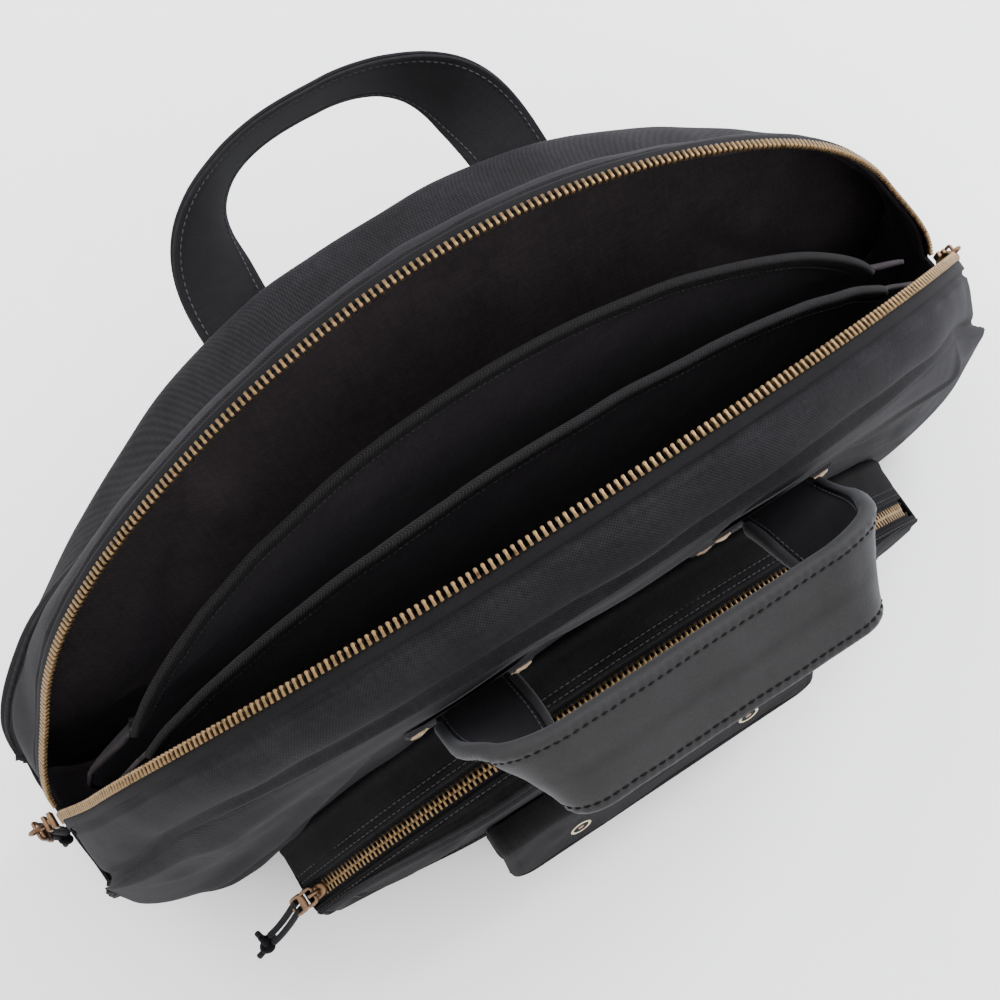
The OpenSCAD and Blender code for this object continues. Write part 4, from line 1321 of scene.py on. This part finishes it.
def bezier(points, n=60):
    """Smooth open curve through points (Catmull-Rom)."""
    p = np.array(points, float)
    p = np.vstack([2 * p[0] - p[1], p, 2 * p[-1] - p[-2]])
    out = []
    seg = len(p) - 3
    per = max(2, n // seg)
    for i in range(seg):
        t = np.linspace(0, 1, per, endpoint=False)[:, None]
        a, b, c, d = p[i], p[i + 1], p[i + 2], p[i + 3]
        square_term, cube_term = 2 * a - 5 * b + 4 * c - d, 3 * b - a - 3 * c + d
        out.append(0.5 * (2 * b + (c - a) * t + square_term * t**2 + cube_term * t**3))
    out.append(p[-2][None])
    return np.vstack(out)


def make_cord(name, points, place, body, cad):
    """Two strands of a cord loop, each made as its own tube of its real length."""
    for k, pts in enumerate(points):
        path = np.array(moved(place, bezier(pts, 40)))
        o = tube(f"{name}_strand_{k + 1}", path, CORD_D / 2, CORDAGE)
        dress(o, "cord", body, *([] if k else [cad]))


def make_pull(name, place, mat, pin_w, leg, plate, body, cad):
    """Wire-and-plate pull in its own frame: pin along Y, pull towards -Z."""
    w = pin_w / 2
    wire = [(0, -w * 0.2, 0.0), (0, -w * 0.85, -0.4), (0, -w, -leg * 0.5), (0, -w * 0.9, -leg),
            (0, -w * 0.6, -leg - 3)]
    wire = wire + [(x, -y, z) for x, y, z in reversed(wire)]
    loop = tube(name + "_wire", moved(place, bezier(wire, 50)), 0.95, mat, sides=10)
    outline = []
    for k in range(40):
        t = 2 * math.pi * k / 40
        c, s = math.cos(t), math.sin(t)
        outline.append((0, rounded(c, 0.6) * w, -leg - plate / 2 + rounded(s, 0.5) * plate / 2))
    ring = tube(name + "_frame", moved(place, outline), 1.05, mat, sides=10, closed=True)
    box = (0, 0, -leg - plate * 0.22), (1.5, w * 1.9, plate * 0.34)
    bar = bevelled(name + "_bar", [box], mat, place, 0.45)
    dress(joined(name, [loop, ring, bar]), "antique_copper", body, cad)


def make_pocket_slider():
    """Slider, pull, cord and knot of the pocket."""
    m = slider_frame()
    body = slider_body("pocket_slider_plate", m, COPPER)
    bridge = eye("pocket_slider_eye", (-1, 0, 4.2), 2.9, 0.95, (0, 1, 0), m, COPPER)
    dress(joined("pocket_slider_cast", [body, bridge]), "antique_copper", "pocket_slider", "pocket_slider")
    pull = m @ Matrix.Translation((-1, 0, 4.6)) @ Matrix.Rotation(math.radians(90), 4, "Y")
    make_pull("pocket_pull_wire", pull, COPPER, 8.0, 9.5, 11.0, "pocket_pull", "pocket_pull")
    route = [(-16.5, 0, 4.6), (-23, -1, 4.3), (-30, -2.2, 3.6), (-38, -3.4, 3), (-46, -4.4, 2.8),
             (-53, -5, 3)]
    strands = [[(x, y + dy, z) for x, y, z in route] for dy in (-2.1, 2.1)]
    tails = [[(-2, 2, -1), (-5, 4.5, -1.5), (-7.5, 7, -2.5)], [(-3, -1, 1), (-6, -3, 1.5), (-9.0, -3.5, 2.5)]]
    knot = make_knot("pocket_knot_tied", (-58.5, -5, 3), m, "pocket_pull", "pocket_knot", tails)
    make_cord("pocket_cord_braid", strands, m, "pocket_pull", "pocket_cord")


def make_end_slider(sx):
    """Slider, pull, cord and knot at one end of the main zip; sx is -1 at the left end."""
    tag = "left" if sx < 0 else "right"
    here = Matrix.Identity(4)
    m = Matrix.Translation((sx * (ZIP_X + 6.6), END_Y, ZE)) @ Matrix.Rotation(math.radians(90) * sx, 4, "Y")
    if sx < 0:
        m = m @ Matrix.Rotation(math.pi, 4, "Z")
    core = [((0, 0, -1.6), (7.0, 8.4, 2.2)), ((0, 0, 1.6), (6.6, 8.0, 2.0)), ((0, 0, 0), (5.0, 3.2, 2.6))]
    box = bevelled(f"main_slider_core_{tag}", core, COPPER, m, 0.6)
    ring = eye(f"main_slider_eye_{tag}", (sx * PULL_X, END_Y, ZE), 3.3, 1.0, (0, 1, 0), here, COPPER)
    dress(joined(f"main_slider_cast_{tag}", [box, ring]), "antique_copper", "bag", f"main_slider_{tag}")
    body = f"main_pull_{tag}"
    at = Matrix.Translation((sx * PULL_X, END_Y, ZE))
    make_pull(f"main_pull_wire_{tag}", at, COPPER, 9.0, 11.0, 13.0, body, f"main_pull_{tag}")
    route = [(0, 0, 0), (0.6, 0.6, -8), (1, 1, -17), (1.2, 1.4, -26), (1, 1.4, -35)]
    strands = [[(sx * (PULL_X + dx + x), END_Y + y, ZE - 20 + z) for x, y, z in route] for dx in (-2.2, 2.2)]
    tails = [[(1, 1, -2), (2, 2.5, -5), (2.5, 4, -8.5)], [(-1, -1, -2), (-2.5, -2, -5), (-3, -3, -8)]]
    knot = make_knot(f"main_knot_tied_{tag}", (sx * (PULL_X + 1), END_Y + 1.3, ZE - 61), here, body,
                     f"main_knot_{tag}", tails)
    make_cord(f"main_cord_braid_{tag}", strands, here, body, f"main_cord_{tag}")


make_pocket_slider()
make_end_slider(-1)
make_end_slider(1)


# ---------------------------------------------------------------- snap pocket
def rounded_path(points, radius, n=8):
    """Polyline with its inner corners rounded."""
    p = [np.array(q, float) for q in points]
    out = [p[0]]
    for a, b, c in zip(p, p[1:], p[2:]):
        u, v = unit(a - b), unit(c - b)
        r = min(radius, np.linalg.norm(a - b) * 0.45, np.linalg.norm(c - b) * 0.45)
        s, e = b + u * r, b + v * r
        for t in np.linspace(0, 1, n):
            out.append((1 - t) ** 2 * s + 2 * t * (1 - t) * b + t**2 * e)
    out.append(p[-1])
    return np.array(out)


def make_snap_pocket():
    """Wall and floor of the wide pocket under the flap."""
    lean = math.tan(SNAP_LEAN)
    # One wrap-round wall: left side, front, right side; rows from the floor to the rim.
    half = SNAP_W / 2
    nv = 60
    z = np.linspace(SNAP_FLOOR, SNAP_RIM, nv)
    front = np.where(z < 45, -132 + 4 * (45 - z) / 29, -132 + (z - 45) * lean)
    rows = []
    for zk, yk in zip(z, front):
        plan = rounded_path([(-half, FACE_Y - 3.0), (-half, yk), (half, yk), (half, FACE_Y - 3.0)], 9, 10)
        q, _ = resample(plan, 280)
        rows.append(np.concatenate([q, np.full((len(q), 1), zk)], 1))
    P = np.stack(rows, 1)
    depth = np.clip((FACE_Y - 3 - P[..., 1]) / 30, 0, 1)
    N = normals(P)
    N = N * np.sign(np.sum(N * (P - np.array([0, FACE_Y - 8, 55.0])), -1, keepdims=True))
    v = np.linspace(0, 1, nv)[None, :]
    soft = smooth(v / 0.12) * smooth((1 - v) / 0.1)
    rel = P[..., 0] / half
    flat = bump(rel, 0.75) * smooth((depth - 0.6) / 0.3)
    out = soft * (1.6 * flat + 1.3 * vnoise(P, 30, 141) + 0.7 * vnoise(P, 13, 142))
    out = out - 2.6 * soft * (1 - depth) * bump(depth - 0.45, 0.22)
    out = out - 3.2 * smooth((1 - v) / 0.35) * smooth((depth - 0.7) / 0.2) * (
        0.5 + 0.5 * np.sin(P[..., 0] / 17.0 + 0.8)) * smooth((half - np.abs(P[..., 0])) / 14)
    from_rim = (1 - v) * (SNAP_RIM - SNAP_FLOOR)
    out = out - 0.5 * bump(from_rim - 8.5, 0.9) + 0.35 * (v > 0.9)
    P = P + N * out[..., None]
    wear_and_highlight = 0.9 * bump(from_rim - 0.4, 1.3) + 0.3 * smooth(vnoise(P, 20, 145)) + 0 * out
    o = grid("snap_pocket_wall", P, CANVAS_POCKET, wear_and_highlight=wear_and_highlight, thick=1.7, flip=True)
    dress(o, "canvas", "bag", "snap_pocket")
    rim = int(nv * 0.89)
    stitches("snap_pocket_rim_stitch", P[:, rim] + N[:, rim] * 0.15, N[:, rim])
    # Floor of the pocket.
    base = P[:, 0]
    mid = np.array([0, FACE_Y - 17, SNAP_FLOOR])
    k = np.linspace(1, 0.03, 12)
    F = mid + (base[:, None] - mid) * k[None, :, None]
    F[..., 2] = SNAP_FLOOR + 0.4
    dress(grid("snap_pocket_floor", F, CANVAS_POCKET, thick=1.2), "canvas")


def make_flap():
    """Flap of the snap pocket, down its profile from the hinge."""
    w = SNAP_W / 2 + 1
    prof = rounded_path([(-112.8, 97.8), (-118, 99.2), (-123.6, 98.6), (-129.6, 76), (-136.6, 50.6)], 7, 8)
    prof, at = resample(prof, 90)
    total = at[-1]
    nu = 190
    x = np.linspace(-w, w, nu)
    P = np.zeros((nu, len(prof), 3))
    P[..., 0] = x[:, None]
    P[..., 1] = prof[None, :, 0]
    P[..., 2] = prof[None, :, 1]
    t = frames(prof)
    nn = np.stack([0 * t[:, 0], t[:, 1], -t[:, 0]], -1)
    nn = nn * np.sign(nn[:, 2:3] + 1e-9)
    # Rounded lower corners: pull the last rows up near the sides.
    side = w - np.abs(x)[:, None]
    tail = (total - at)[None, :]
    cut = 13.0
    corner = np.maximum(0, cut - np.sqrt(np.clip(cut**2 - np.clip(cut - side, 0, cut) ** 2, 0, None)))
    shift = corner * smooth(1 - tail / 30)
    P[..., 1] -= t[None, :, 0] * shift
    P[..., 2] -= t[None, :, 1] * shift
    edge = np.minimum(side, tail)
    lift = 1.5 * np.sqrt(np.clip(edge / 1.3, 0, 1)) - 0.4 * bump(edge - 3.6, 0.9)
    lift = lift + 0.5 * bump(edge - 2.0, 1.0)
    lift = lift + smooth(edge / 6) * (1.2 * vnoise(P, 32, 151) + 0.6 * vnoise(P, 13, 152))
    snap_d = np.hypot(np.abs(x)[:, None] - SNAP_X, P[..., 2] - SNAP_Z)
    lift = lift * smooth((snap_d - 4) / 12) + 1.1 * (1 - smooth((snap_d - 4) / 12))
    P = P + nn[None] * lift[..., None]
    wear_and_highlight = 0.9 * bump(edge - 0.7, 1.2) + 0.5 * bump(at - 22, 4)[None, :] + 0 * lift
    o = grid("snap_flap_cloth", P, CANVAS_POCKET, wear_and_highlight=wear_and_highlight, thick=1.9)
    dress(o, "canvas", "flap", "snap_flap")
    j = int(np.argmin(np.abs(total - at - 3.6)))
    i0 = int(np.argmin(np.abs(x + w - 3.6)))
    i1 = nu - 1 - i0
    seam = np.concatenate([P[i0, :j], P[i0:i1, j], P[i1, :j][::-1]])
    up = np.concatenate([nn[:j], np.tile(nn[j], (i1 - i0, 1)), nn[:j][::-1]])
    stitches("snap_flap_stitch", seam, up, body="flap")


def make_snap(sx):
    """One snap: cap and socket on the flap, stud on the pocket."""
    tag = "left" if sx < 0 else "right"
    out = Vector((0, -math.cos(SNAP_LEAN), math.sin(SNAP_LEAN)))
    base = Vector((sx * SNAP_X, SNAP_Y, SNAP_Z))
    cap = [(6.9, 0), (7.0, 0.5), (6.5, 1.1), (5.6, 1.45), (4.7, 1.35), (4.2, 0.9), (3.9, 0.75)]
    dome = [(3.9, 0), (3.7, 0.25), (2.6, 0.55), (1.2, 0.7), (0.1, 0.72)]
    sock = [(5.2, 2.4), (5.3, 1.9), (5.1, 0.2), (4.6, 0), (3.5, 0.1), (3.2, 0.5), (3.2, 1.6), (0.1, 1.7)]
    stud = [(4.6, 0), (4.6, 0.6), (4.2, 0.8), (1.9, 0.85), (1.6, 1.2), (1.75, 1.7), (1.5, 2.05), (0.1, 2.1)]
    for name, prof, off, mat, n, body, *cad in (
            ("cap_ring", cap, 7.6, SNAP_BRASS, 48, "flap", "snap_caps"),
            ("cap_middle", dome, 8.2, COPPER, 36, "flap"),
            ("socket", sock, 1.4, SNAP_BRASS, 36, "flap"),
            ("stud", stud, 0.2, SNAP_BRASS, 36, "bag", "snap_studs")):
        o = lathe(f"snap_{name}_{tag}", prof, base + out * off, out, mat, n)
        dress(o, "antique_brass", body, *(cad if sx < 0 else []))


make_snap_pocket()
make_flap()
for sign in (-1, 1):
    make_snap(sign)


# ---------------------------------------------------------------- floor and light
def make_stage():
    """White floor, white surroundings and three lamps."""
    mesh = bpy.data.meshes.new("floor")
    s = 6.0
    mesh.from_pydata([(-s, -s, 0), (s, -s, 0), (s, s, 0), (-s, s, 0)], [], [(0, 1, 2, 3)])
    placed(mesh, FLOOR)
    world = bpy.data.worlds.new("world")
    bpy.context.scene.world = world
    world.use_nodes = True
    colour, strength = world.node_tree.nodes["Background"].inputs[:2]
    colour.default_value, strength.default_value = (1, 1, 1, 1), 2.2
    for name, at, aim, size, power, tint in (
            ("key", (1.5, 0.5, 1.5), (0.1, 0, 0.2), 1.2, 66, (0.90, 0.93, 1.0)),
            ("top", (-0.5, 1.2, 1.9), (0, 0, 0.2), 1.4, 20, (1.0, 0.99, 0.97)),
            ("fill", (-1.3, -1.3, 1.3), (0, 0, 0.1), 1.4, 6, (1.0, 0.98, 0.96))):
        data = bpy.data.lights.new(name, "AREA")
        data.energy, data.size, data.color = power, size, tint
        o = bpy.data.objects.new(name, data)
        bpy.context.scene.collection.objects.link(o)
        o.location = at
        o.rotation_euler = (Vector(at) - Vector(aim)).to_track_quat("Z", "Y").to_euler()


make_stage()
